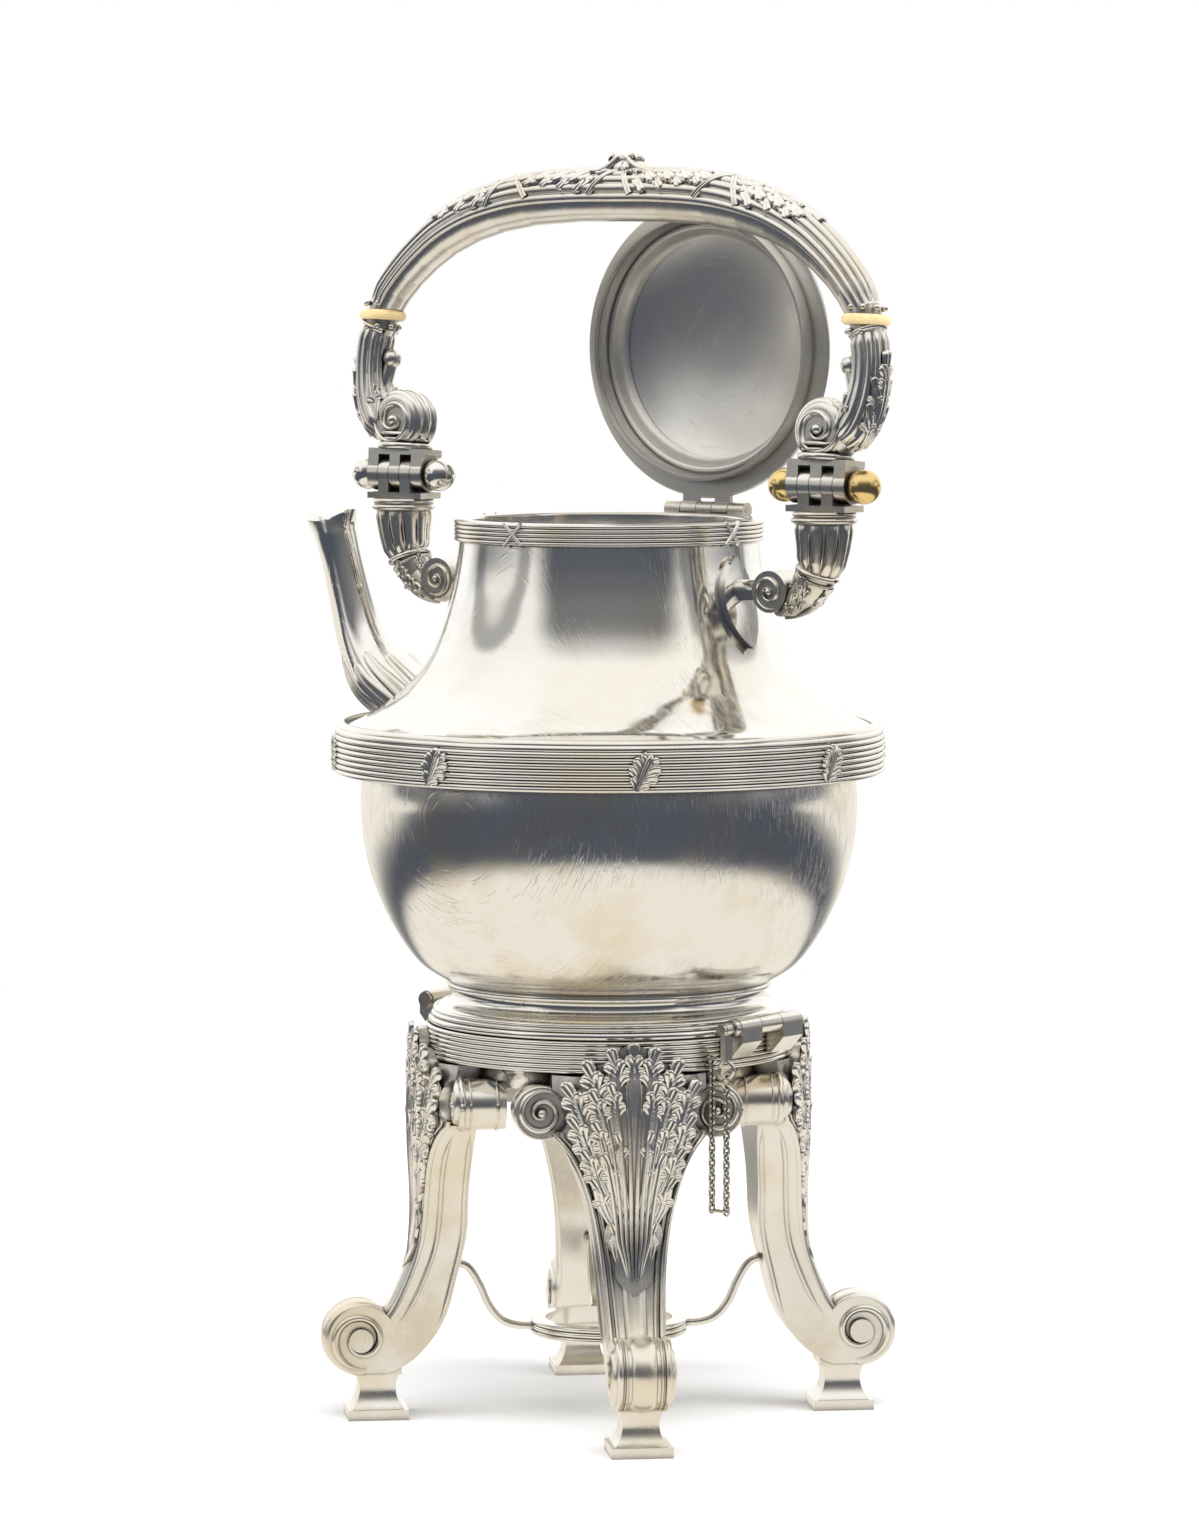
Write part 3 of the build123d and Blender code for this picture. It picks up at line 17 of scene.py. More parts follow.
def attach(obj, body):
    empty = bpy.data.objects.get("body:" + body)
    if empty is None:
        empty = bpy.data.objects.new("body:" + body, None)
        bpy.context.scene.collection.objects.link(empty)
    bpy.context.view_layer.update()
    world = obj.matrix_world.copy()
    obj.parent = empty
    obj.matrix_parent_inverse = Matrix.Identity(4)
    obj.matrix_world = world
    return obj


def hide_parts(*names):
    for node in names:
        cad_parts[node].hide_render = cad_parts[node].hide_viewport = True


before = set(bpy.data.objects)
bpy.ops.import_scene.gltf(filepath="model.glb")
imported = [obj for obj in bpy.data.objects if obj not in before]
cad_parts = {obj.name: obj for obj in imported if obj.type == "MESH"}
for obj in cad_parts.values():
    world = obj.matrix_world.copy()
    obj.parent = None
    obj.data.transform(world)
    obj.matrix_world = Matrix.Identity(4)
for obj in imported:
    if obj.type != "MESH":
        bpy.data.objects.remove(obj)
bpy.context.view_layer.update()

MM = 0.001
# Points of one piece closer than this, in metres, become one.
WELD = 0.00001
LOG = logging.getLogger("kettle")
# A CAD node's edges bent more than this many degrees stay crisp.
NODE_SHARP = 32
SIDES = (-1, 1)
SIDEWAYS = Vector((0, 1, 0))
# The two ends of the handle, and each one's bearing from the rear.
ENDS = (("rear", 0.0), ("front", 180.0))
# A carved lobe's cross section: how round it is, its middle groove's share of the half width, and how far
# its edges lie under the surface.
ROUNDING, GROOVE_WIDTH, SUNK = 0.55, 0.28, 0.5
OCTAVE_SHARE = 0.55
# Blobs per metre of each layer of wear on silver.
CLOUDS, PATCHES, FINE_GRAIN, PITS, WAVES = 26.0, 75.0, 2600.0, 420.0, 21.0
# Where each mask on silver starts and is full: tarnish, painted shade in recesses, scratches and their
# patches.
STAIN_EDGE, RECESS_SHADE_EDGE, LINE_EDGE, SPREAD_EDGE = (0.44, 0.64), (0.20, 0.66), (0.62, 0.70), (0.42, 0.62)
# Each Bump node's strength and its distance in metres.
SILVER_BUMP, IVORY_BUMP = (0.35, 0.0004), (0.2, 0.0002)
# How a scratch noise is stretched, and the ways in which the scratches lie, in degrees.
SCRATCH_SCALE = (150.0, 4200.0, 150.0)
SCRATCH_TURNS = ((12, 8, 20), (-28, 15, 64), (40, -20, 118))
Pair = tuple[float, float]
Triple = tuple[float, float, float]
Socket = bpy.types.NodeSocket
Number = Union[float, "Wire"]
Colour = Union[Triple, Socket]


# ---- shader wiring ----
def arithmetic(operation: str, swapped: bool = False) -> Callable[["Wire", Number], "Wire"]:
    """Make a Wire method that adds one Math node.

    Args:
        operation: the Math node's operation.
        swapped: the other value comes first.

    Returns:
        The method.
    """

    def method(wire: "Wire", other: Number) -> "Wire":
        """Join the wire and the other value."""
        first, second = (other, wire) if swapped else (wire, other)
        return wire.sheet.wire("ShaderNodeMath", {"operation": operation}, {0: first, 1: second})

    return method


class Wire:
    """One number socket of a material, usable in plain arithmetic."""

    def __init__(self, sheet: "Sheet", socket: Socket) -> None:
        """Keep the socket and the material sheet that it belongs to."""
        self.sheet = sheet
        self.socket = socket

    __add__, __radd__ = arithmetic("ADD"), arithmetic("ADD", True)
    __sub__, __rsub__ = arithmetic("SUBTRACT"), arithmetic("SUBTRACT", True)
    __mul__ = arithmetic("MULTIPLY")

    def ease(self, low: float, high: float) -> "Wire":
        """Rise smoothly from 0 at low to 1 at high."""
        settings = {"interpolation_type": "SMOOTHSTEP"}
        return self.sheet.wire("ShaderNodeMapRange", settings, {0: self, 1: low, 2: high, 3: 0.0, 4: 1.0})

    def ridge(self, low: float, full: float, still: float, high: float) -> "Wire":
        """Rise from 0 at low to 1 at full, and fall from 1 at still to 0 at high."""
        return self.ease(low, full) * (1.0 - self.ease(still, high))


class Sheet:
    """The node tree of one material or world."""

    def __init__(self, name: str, holder: bpy.types.ID | None = None) -> None:
        """Start an empty material of that name, or empty the holder's own nodes."""
        self.material = holder or bpy.data.materials.new(name)
        self.material.use_nodes = True
        self.tree = self.material.node_tree
        self.tree.nodes.clear()

    def node(self, kind: str, settings: dict | None = None, inputs: dict | None = None) -> bpy.types.Node:
        """Add one node.

        Args:
            kind: the node's type name.
            settings: attributes, set first.
            inputs: values or links, by socket name or number.

        Returns:
            The node.
        """
        made = self.tree.nodes.new(kind)
        for key, value in (settings or {}).items():
            setattr(made, key, value)
        for key, value in (inputs or {}).items():
            socket = made.inputs[key]
            if isinstance(value, Wire):
                self.tree.links.new(value.socket, socket)
            elif isinstance(value, Socket):
                self.tree.links.new(value, socket)
            elif socket.type == "RGBA":
                socket.default_value = (*value[:3], 1.0)
            else:
                socket.default_value = value
        return made

    def wire(self, kind: str, settings: dict | None = None, inputs: dict | None = None,
             output: int | str = 0) -> Wire:
        """Add one node and keep one of its outputs, for arithmetic."""
        return Wire(self, self.node(kind, settings, inputs).outputs[output])

    def place(self) -> Socket:
        """The point being shaded, in the object's own metres."""
        return self.node("ShaderNodeTexCoord").outputs["Object"]

    def stretched(self, scale: Triple, turn: Triple = (0, 0, 0)) -> Socket:
        """The place, turned in degrees and then scaled along each axis."""
        angles = tuple(math.radians(a) for a in turn)
        inputs = {"Vector": self.place(), "Rotation": angles, "Scale": scale}
        return self.node("ShaderNodeMapping", {"vector_type": "POINT"}, inputs).outputs[0]

    def noise(self, scale: float, detail: float, vector: Socket | None = None) -> Wire:
        """Soft noise between 0 and 1.

        Args:
            scale: blobs per metre.
            detail: octaves.
            vector: the coordinates, or None for the place.

        Returns:
            The noise.
        """
        inputs = {"Vector": vector or self.place(), "Scale": scale, "Detail": detail,
                  "Roughness": OCTAVE_SHARE}
        return self.wire("ShaderNodeTexNoise", {}, inputs)

    def blend(self, factor: Number, first: Colour, second: Colour) -> Socket:
        """Mix two colours; the factor is how much of the second."""
        return self.node("ShaderNodeMix", {"data_type": "RGBA"}, {0: factor, 6: first, 7: second}).outputs[2]

    def occlusion_shade(self, distance: float) -> Wire:
        """Ambient occlusion for painted shade: 0 on open surfaces, rising to 1 in recesses narrower than the
        distance in metres.
        """
        return 1.0 - self.wire("ShaderNodeAmbientOcclusion", {"samples": 6}, {"Distance": distance}, "AO")

    def bump(self, height: Wire, strength: float, distance: float) -> Socket:
        """A Bump node's normal."""
        inputs = {"Strength": strength, "Distance": distance, "Height": height}
        return self.node("ShaderNodeBump", {}, inputs).outputs[0]

    def principled(self, inputs: dict) -> bpy.types.Material:
        """Finish the material with one Principled shader."""
        shader = self.node("ShaderNodeBsdfPrincipled", {}, inputs)
        self.node("ShaderNodeOutputMaterial", {}, {"Surface": shader.outputs[0]})
        return self.material

    def along(self, spot: Socket, bearing: float) -> Wire:
        """How far a place lies toward a bearing in degrees, counted as the camera's is."""
        turn = math.radians(bearing)
        inputs = {0: spot, 1: (math.sin(turn), -math.cos(turn), 0.0)}
        return self.wire("ShaderNodeVectorMath", {"operation": "DOT_PRODUCT"}, inputs, "Value")

    def rays(self) -> list[Wire]:
        """1 where a ray comes straight from the camera, from a mirror, and through glass."""
        path = self.node("ShaderNodeLightPath")
        return [Wire(self, path.outputs[f"Is {kind} Ray"]) for kind in ("Camera", "Glossy", "Transmission")]

    def glow(self, kind: str, colour: Colour, strength: float = 1.0) -> Socket:
        """A shader of one colour: Emission on a surface, Background in a world."""
        return self.node(f"ShaderNode{kind}", {}, {"Color": colour, "Strength": strength}).outputs[0]

    def mixed(self, factor: Number, first: Socket,
              second: Socket) -> Socket:
        """Mix two shaders; the factor is how much of the second."""
        return self.node("ShaderNodeMixShader", {}, {0: factor, 1: first, 2: second}).outputs[0]


@dataclass(frozen=True)
class SilverFinish:
    """A silver surface: clean tone, warm tarnish, painted shade in recesses, and fine wear."""

    name: str
    slot: str = "chased_silver"
    tone: Triple = (0.86, 0.845, 0.81)
    warm: Triple = (0.78, 0.66, 0.45)
    recess_shade: Triple = (0.035, 0.028, 0.022)
    # The near-black colour of the painted shade in recesses, how far its occlusion reaches, and its strength.
    tarnish: float = 0.35
    recess_depth: float = 0.0025
    recess_shade_strength: float = 0.9
    roughness: float = 0.12
    hairlines: float = 0.0
    grain: float = 0.15
    wave: float = 2.0

    def build(self) -> bpy.types.Material:
        """Make the node material."""
        sheet = Sheet(self.name)
        patches = sheet.noise(PATCHES, 3.0)
        stain = (sheet.noise(CLOUDS, 4.0) * 0.65 + patches * 0.35).ease(*STAIN_EDGE) * self.tarnish
        # Painted shade: ambient occlusion, varied a little by noise, darkens recesses toward the near-black
        # recess colour.
        hollow = sheet.occlusion_shade(self.recess_depth)
        dark = (hollow + (patches - 0.5) * 0.15).ease(*RECESS_SHADE_EDGE) * self.recess_shade_strength
        colour = sheet.blend(dark, sheet.blend(stain, self.tone, self.warm), self.recess_shade)
        rough = self.roughness + (patches - 0.5) * 0.08 + stain * 0.12 + dark * 0.35
        height = sheet.noise(FINE_GRAIN, 2.0) * (0.35 * self.grain)
        height = height + sheet.noise(PITS, 2.0) * (0.5 * self.grain) + sheet.noise(WAVES, 1.0) * self.wave
        if self.hairlines > 0:
            marks = self.scratches(sheet)
            rough = rough + marks * (0.09 * self.hairlines)
            height = height - marks * (0.22 * self.hairlines)
        normal = sheet.bump(height, *SILVER_BUMP)
        return sheet.principled({"Base Color": colour, "Metallic": 1.0, "Roughness": rough, "Normal": normal})

    @staticmethod
    def scratches(sheet: Sheet) -> Wire:
        """Thin lines in patches, 1 in the lines."""
        marks = None
        for turn in SCRATCH_TURNS:
            lines = sheet.noise(1.0, 1.0, sheet.stretched(SCRATCH_SCALE, turn)).ease(*LINE_EDGE)
            line = lines * sheet.noise(18.0 + abs(turn[0]), 1.0).ease(*SPREAD_EDGE)
            marks = line if marks is None else marks + line
        return marks


@dataclass(frozen=True)
class IvoryFinish:
    """Old ivory: warm cream with faint long grain, painted shade in its grooves, and a soft polish."""

    name: str = "ivory_rings"
    slot: str = "ivory"
    tone: Triple = (0.78, 0.58, 0.31)
    deep: Triple = (0.56, 0.37, 0.15)

    def build(self) -> bpy.types.Material:
        """Make the node material."""
        sheet = Sheet(self.name)
        grain = sheet.noise(1.0, 3.0, sheet.stretched((500.0, 500.0, 2600.0)))
        clouds = sheet.noise(260.0, 2.0)
        # The deep colour mixes the real grain and clouds with painted shade from ambient occlusion in the
        # grooves.
        hollow = sheet.occlusion_shade(0.002)
        mask = (grain * 0.5 + clouds * 0.5).ease(0.38, 0.70) * 0.45 + hollow * 0.6
        colour = sheet.blend(mask, self.tone, self.deep)
        normal = sheet.bump(grain, *IVORY_BUMP)
        rough = 0.30 + clouds * 0.12
        inputs = {"Base Color": colour, "Roughness": rough, "Normal": normal, "Subsurface Weight": 0.12}
        return sheet.principled(inputs)


class Finish(Enum):
    """The finishes that the pieces take."""

    POLISHED = SilverFinish("polished_silver_body", "polished_silver", tarnish=0.22, recess_shade_strength=0.55,
                            recess_depth=0.004, roughness=0.07, hairlines=0.35, grain=0.05, wave=3.0)
    BOWL = SilverFinish("worn_silver_bowl", "polished_silver", tarnish=0.55, recess_shade_strength=0.5,
                        recess_depth=0.004, roughness=0.15, hairlines=1.0, grain=0.12, wave=5.0)
    LID = SilverFinish("lid_silver", "polished_silver", tone=(0.90, 0.885, 0.85), tarnish=0.15,
                       recess_shade_strength=0.6, recess_depth=0.003, roughness=0.34, hairlines=0.5, grain=0.10)
    CHASED = SilverFinish("chased_silver_ornament", tone=(0.84, 0.815, 0.765), tarnish=0.42,
                          recess_depth=0.0026, roughness=0.24, grain=0.3)
    LEAF = SilverFinish("bright_silver_leaves", tone=(0.88, 0.855, 0.805), tarnish=0.38,
                        recess_depth=0.0015, recess_shade_strength=0.8, roughness=0.19, grain=0.25)
    REEDED = SilverFinish("reeded_silver_bands", tone=(0.83, 0.81, 0.77), tarnish=0.38,
                          recess_depth=0.0016, roughness=0.13, grain=0.15)
    CAST = SilverFinish("cast_silver_legs", tone=(0.84, 0.815, 0.765), tarnish=0.5,
                        recess_depth=0.0032, roughness=0.22, grain=0.4, hairlines=0.3)
    FITTING = SilverFinish("small_silver_fittings", "fitting_silver", tone=(0.72, 0.69, 0.64), tarnish=0.5,
                           recess_depth=0.0015, roughness=0.22, grain=0.3)
    # The gilt's brown recess colour is painted shade.
    GILT = SilverFinish("worn_gilt", "gilt", tone=(0.90, 0.67, 0.30), warm=(0.70, 0.48, 0.20), tarnish=0.5,
                        recess_shade=(0.10, 0.05, 0.02), recess_depth=0.002, roughness=0.16, grain=0.2)
    IVORY = IvoryFinish()


class Workshop:
    """Makes finished materials once and hands pieces to the frame."""

    def __init__(self) -> None:
        """Start with no materials made."""
        self.made: dict[str, bpy.types.Material] = {}

    def material(self, finish: Finish) -> bpy.types.Material:
        """The finish's material, made on first use."""
        if finish.name not in self.made:
            self.made[finish.name] = finish.value.build()
        return self.made[finish.name]

    def dress_node(self, node: str, finish: Finish) -> None:
        """Give a carried-over CAD node its material."""
        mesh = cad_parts[node].data
        mesh.materials.clear()
        mesh.materials.append(self.material(finish))
        mesh.set_sharp_from_angle(angle=math.radians(NODE_SHARP))

    def fit(self, sketch: "Sketch", name: str, body: str, finish: Finish, nodes: Sequence[str] = (),
            sharp: float = 60.0) -> None:
        """Make a piece, dress it, let it ride on a body, and let it stand for CAD nodes.

        Args:
            sketch: the piece's points and faces.
            name: its name.
            body: the CAD body that it rides on.
            finish: its finish.
            nodes: the CAD nodes that it replaces.
            sharp: edges bent more than this many degrees stay crisp.
        """
        piece = sketch.piece(name, sharp)
        piece.data.materials.append(self.material(finish))
        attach(piece, body)
        if nodes:
            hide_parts(*nodes)
        LOG.info("%s rides on %s, %d points", name, body, len(piece.data.vertices))


# ---- lines and meshes ----
def lerp(a: float, b: float, t: float) -> float:
    """The value a share t of the way from a to b."""
    return a + (b - a) * t


def spaced(low: float, high: float, steps: int) -> list[float]:
    """Evenly spaced values, both ends with them."""
    return [lerp(low, high, k / steps) for k in range(steps + 1)]


def full_turn(count: int) -> list[float]:
    """Evenly spaced angles of one whole turn, in radians."""
    return [2 * math.pi * k / count for k in range(count)]


def run_between(before: Sequence[float], after: Sequence[float]) -> Vector:
    """The direction from one (x, z) point to another, in the upright plane through the axis."""
    return Vector((after[0] - before[0], 0.0, after[1] - before[1])).normalized()


def square_to(run: Vector) -> Vector:
    """The direction square to a run, in the upright plane."""
    return Vector((-run.z, 0.0, run.x))


def curve_through(stations: Sequence[Sequence[float]], steps: int) -> list[tuple[float, ...]]:
    """A smooth line through stations of any number of values.

    Args:
        stations: the values that it passes through.
        steps: points per run.

    Returns:
        The line's points, both ends with them.
    """
    found = []
    last = len(stations) - 1
    for index in range(last):
        four = [stations[min(max(index + k, 0), last)] for k in (-1, 0, 1, 2)]
        for step in range(steps):
            t = step / steps
            found.append(tuple(
                0.5 * (2 * b + (c - a) * t + (2 * a - 5 * b + 4 * c - d) * t**2
                       + (3 * b - a - 3 * c + d) * t**3)
                for a, b, c, d in zip(*four)
            ))
    found.append(tuple(stations[-1]))
    return found


def value_at(line: Sequence[Sequence[float]], key: float) -> float:
    """A line's first value where its second one, which runs one way, is the key.

    Args:
        line: the points.
        key: the second value to look for.

    Returns:
        The value read between the points, or the nearest end's.
    """
    for a, b in zip(line, line[1:]):
        low, high = sorted((a[1], b[1]))
        if low <= key <= high and high > low:
            return lerp(a[0], b[0], (key - a[1]) / (b[1] - a[1]))
    return min((line[0], line[-1]), key=lambda p: abs(p[1] - key))[0]


def arc_through(start: Pair, middle: Pair, end: Pair, steps: int) -> list[Pair]:
    """Points of a circular arc through three (radius, height) points, both ends with them."""
    (ax, ay), (bx, by), (cx, cy) = start, middle, end
    d = 2 * (ax * (by - cy) + bx * (cy - ay) + cx * (ay - by))
    a2, b2, c2 = ax * ax + ay * ay, bx * bx + by * by, cx * cx + cy * cy
    ox = (a2 * (by - cy) + b2 * (cy - ay) + c2 * (ay - by)) / d
    oy = (a2 * (cx - bx) + b2 * (ax - cx) + c2 * (bx - ax)) / d
    radius = math.hypot(ax - ox, ay - oy)
    first = math.atan2(ay - oy, ax - ox)
    mid = (math.atan2(by - oy, bx - ox) - first) % (2 * math.pi)
    last = (math.atan2(cy - oy, cx - ox) - first) % (2 * math.pi)
    if mid > last:
        last -= 2 * math.pi
    turns = [first + last * k / steps for k in range(steps + 1)]
    return [(ox + radius * math.cos(t), oy + radius * math.sin(t)) for t in turns]


def profile(r: float, z: float, rows: Sequence[Sequence[float]]) -> list[Pair]:
    """An outline of points and arcs, as offsets from one place.

    Args:
        r: the radius that offsets are counted from.
        z: the height that offsets are counted from.
        rows: (r, z) for a point, or an arc's three such pairs and its steps.

    Returns:
        The outline.
    """
    line: list[Pair] = []
    for row in rows:
        pairs = [(r + row[k], z + row[k + 1]) for k in range(0, len(row) - 1, 2)]
        line += arc_through(*pairs, row[6]) if len(row) == 7 else pairs
    return line


def reeds(radius: float, depth: float, low: float, high: float, count: int, steps: int) -> list[Pair]:
    """The outline of a reeded wall, from low to high."""
    pitch = (high - low) / count
    line: list[Pair] = []
    for index in range(count):
        z = low + index * pitch
        root = radius - depth
        line += arc_through((root, z), (radius, z + pitch / 2), (root, z + pitch), steps)[:-1]
    return line + [(radius - depth, high)]


def moved_square(line: Sequence[Pair], distance: float) -> list[Pair]:
    """An outline moved square to itself, outward where the distance is positive."""
    moved = []
    last = len(line) - 1
    for index, (r, z) in enumerate(line):
        before, after = line[max(index - 1, 0)], line[min(index + 1, last)]
        run_r, run_z = after[0] - before[0], after[1] - before[1]
        length = math.hypot(run_r, run_z) or 1.0
        moved.append((r + distance * run_z / length, z - distance * run_r / length))
    return moved


def put(name: str, data: bpy.types.ID) -> bpy.types.Object:
    """Put a new object with that data in the scene."""
    made = bpy.data.objects.new(name, data)
    bpy.context.scene.collection.objects.link(made)
    return made


class Sketch:
    """Points and faces of one piece, in millimetres."""

    def __init__(self) -> None:
        """Start empty."""
        self.points: list[Vector] = []
        self.faces: list[tuple[int, ...]] = []

    def grid(self, rows: Sequence[Sequence[Vector]], close_u: bool = False, close_v: bool = False) -> None:
        """Add a net of four-sided faces.

        Args:
            rows: rows of points, all of one length.
            close_u: join the last row to the first.
            close_v: join each row's end to its start.
        """
        base = len(self.points)
        count_u, count_v = len(rows), len(rows[0])
        for row in rows:
            self.points.extend(row)
        for u in range(count_u if close_u else count_u - 1):
            for v in range(count_v if close_v else count_v - 1):
                a = base + u * count_v + v
                b = base + u * count_v + (v + 1) % count_v
                c = base + ((u + 1) % count_u) * count_v + (v + 1) % count_v
                d = base + ((u + 1) % count_u) * count_v + v
                self.faces.append((a, b, c, d))

    def lathe(self, outline: Sequence[Pair], segments: int = 192, closed: bool = True) -> "Sketch":
        """Turn an outline of (radius, height) about the upright axis.

        Args:
            outline: the outline, anticlockwise seen with radius to the right.
            segments: how many steps round.
            closed: the outline's end joins its start.

        Returns:
            This sketch.
        """
        turns = full_turn(segments)
        rows = [[Vector((r * math.cos(t), r * math.sin(t), z)) for t in turns] for r, z in outline]
        self.grid(rows, close_u=closed, close_v=True)
        return self

    def lobe(self, path: Sequence[Vector], normals: Sequence[Vector], widths: Sequence[float],
             heights: Sequence[float], groove: float, across: int = 8) -> None:
        """Add one carved lobe or bead along a path that lies on a surface.

        Args:
            path: points on the surface.
            normals: the surface's outward direction at each point.
            widths: half the width at each point.
            heights: how far the crest stands out at each point.
            groove: how deep the middle groove is, as a share of the height.
            across: steps across.
        """
        rows = []
        last = len(path) - 1
        for index, (at, normal) in enumerate(zip(path, normals)):
            run = (path[min(index + 1, last)] - path[max(index - 1, 0)]).normalized()
            side = run.cross(normal).normalized()
            row = []
            for step in range(across + 1):
                s = -1 + 2 * step / across
                rise = (1 - s * s) ** ROUNDING * (1 - groove * math.exp(-((s / GROOVE_WIDTH) ** 2)))
                lift = heights[index] * rise - SUNK * (1 - rise)
                row.append(at + side * (widths[index] * s) + normal * lift)
            rows.append(row)
        first = len(self.points)
        self.grid(rows, close_v=True)
        self.faces.append(tuple(first + k for k in reversed(range(across + 1))))
        self.faces.append(tuple(first + last * (across + 1) + k for k in range(across + 1)))

    def moved(self, matrix: Matrix) -> "Sketch":
        """Move every point by a matrix."""
        self.points = [matrix @ p for p in self.points]
        return self

    def join(self, other: "Sketch", matrix: Matrix | None = None) -> "Sketch":
        """Take in another sketch's points and faces, moved by a matrix where one is given."""
        base = len(self.points)
        self.points.extend([matrix @ p for p in other.points] if matrix else list(other.points))
        self.faces.extend(tuple(base + k for k in face) for face in other.faces)
        return self

    def piece(self, name: str, sharp: float) -> bpy.types.Object:
        """Make the Blender object.

        Args:
            name: the object's name.
            sharp: edges bent more than this many degrees stay crisp.

        Returns:
            The object, in metres.
        """
        mesh = bpy.data.meshes.new(name)
        mesh.from_pydata([p * MM for p in self.points], [], self.faces)
        mesh.validate()
        mesh.polygons.foreach_set("use_smooth", [True] * len(mesh.polygons))
        made = put(name, mesh)
        made.modifiers.new("weld", "WELD").merge_threshold = WELD
        depsgraph = bpy.context.evaluated_depsgraph_get()
        made.data = bpy.data.meshes.new_from_object(made.evaluated_get(depsgraph))
        made.modifiers.clear()
        made.data.name = name
        made.data.set_sharp_from_angle(angle=math.radians(sharp))
        return made


def turned_about_z(degrees: float) -> Matrix:
    """A turn about the kettle's axis."""
    return Matrix.Rotation(math.radians(degrees), 4, "Z")


def turned_about_x(degrees: float, y: float, z: float) -> Matrix:
    """A turn about an axis along X through (y, z), in millimetres."""
    at = Vector((0.0, y, z))
    return Matrix.Translation(at) @ Matrix.Rotation(math.radians(degrees), 4, "X") @ Matrix.Translation(-at)


# ---- carved ornament ----
@dataclass(frozen=True)
class Skin:
    """A surface that ornament lies on: side and height along it give a point and a direction."""

    at: Callable[[float, float], Vector]
    fine: float = 0.05

    def out(self, a: float, b: float) -> Vector:
        """The outward direction at a place on the surface."""
        along_a = self.at(a + self.fine, b) - self.at(a - self.fine, b)
        along_b = self.at(a, b + self.fine) - self.at(a, b - self.fine)
        return along_a.cross(along_b).normalized()

    def lobe(self, sketch: Sketch, line: Sequence[Pair], widths: Sequence[float], heights: Sequence[float],
             groove: float = 0.35, lift: float = 0.0, across: int = 8) -> None:
        """Lay one lobe along a line of (a, b) places.

        Args:
            sketch: what the lobe is added to.
            line: places along the lobe.
            widths: half the width at each place.
            heights: the crest's height at each place.
            groove: the middle groove, as a share of the height.
            lift: raises the whole lobe.
            across: steps across.
        """
        normals = [self.out(a, b) for a, b in line]
        path = [self.at(a, b) + n * lift for (a, b), n in zip(line, normals)]
        sketch.lobe(path, normals, widths, heights, groove, across)

    def bead(self, sketch: Sketch, line: Sequence[Pair], wide: float | Sequence[float],
             high: float | Sequence[float], across: int = 8) -> None:
        """Lay one plain rounded bead, even where its half width or height is one number."""
        wide, high = ([v] * len(line) if isinstance(v, (int, float)) else v for v in (wide, high))
        self.lobe(sketch, line, wide, high, 0.0, 0.0, across)

    def finger(self, sketch: Sketch, root: Pair, tip: Pair, bend: float, wide: float, high: float,
               groove: float, lift: float, steps: int) -> None:
        """Lay one leaf finger: narrow at its root, full near its tip, which curls up.

        Args:
            sketch: what the finger is added to.
            root: where it starts.
            tip: where it ends.
            bend: how far its middle bows to the left of the straight line.
            wide: half its greatest width.
            high: its height near the tip.
            groove: the middle groove, as a share of the height.
            lift: raises the whole finger.
            steps: points along it.
        """
        run = (tip[0] - root[0], tip[1] - root[1])
        long = math.hypot(*run) or 1.0
        left = (-run[1] / long, run[0] / long)
        line, widths, heights = [], [], []
        for k in range(steps + 1):
            t = k / steps
            bow = bend * math.sin(math.pi * t) * (0.6 + 0.4 * t)
            line.append((lerp(root[0], tip[0], t) + left[0] * bow, lerp(root[1], tip[1], t) + left[1] * bow))
            widths.append(wide * (0.30 + 0.70 * math.sin(math.pi * min(t * 0.62, 0.5))) * self.taper(t))
            heights.append(high * (0.45 + 0.55 * t * t) * min(1.0, (1 - t) * 9 + 0.12))
        self.lobe(sketch, line, widths, heights, groove, lift)

    @staticmethod
    def taper(t: float) -> float:
        """The rounding of a finger's end."""
        return math.sqrt(max(1 - max((t - 0.78) / 0.22, 0.0) ** 2, 0.0)) * 0.96 + 0.04

    def frond(self, sketch: Sketch, root: Pair, tip: Pair, bend: float, size: float, high: float,
              fingers: int, spread: float, side: int = 0) -> None:
        """Lay one acanthus frond: a stem that opens into a fan of fingers.

        Args:
            sketch: what the frond is added to.
            root: where its stem starts.
            tip: the middle of its fan's edge.
            bend: how far the stem bows.
            size: the fingers' length.
            high: the crest's height.
            fingers: how many fingers.
            spread: the fan's half angle in degrees.
            side: -1 or 1 leans the fan's fingers to one side, and 0 keeps it even.
        """
        self.finger(sketch, root, tip, bend, size * 0.34, high * 0.8, 0.35, 0.0, 18)
        run = math.atan2(tip[1] - root[1], tip[0] - root[0])
        for k in range(fingers):
            share = 0.0 if fingers == 1 else -1 + 2 * k / (fingers - 1)
            turn = run + math.radians(spread * share + side * 12)
            reach = size * (1.0 - 0.30 * abs(share))
            back = size * (0.62 + 0.75 * abs(share))
            hub = (tip[0] - math.cos(run) * back, tip[1] - math.sin(run) * back)
            end = (hub[0] + math.cos(turn) * reach, hub[1] + math.sin(turn) * reach)
            lift = 0.25 * (1 - abs(share)) * high
            self.finger(sketch, hub, end, -share * size * 0.16, size * 0.29, high, 0.42, lift, 9)


    def wings(self, sketch: Sketch, root: Pair, tip: Pair, bend: float, size: float, high: float,
              fingers: int, spread: float) -> None:
        """Lay a frond and its mirror image across the surface's middle line."""
        for wing in SIDES:
            self.frond(sketch, (root[0], wing * root[1]), (tip[0], wing * tip[1]), wing * bend, size, high,
                       fingers, spread)


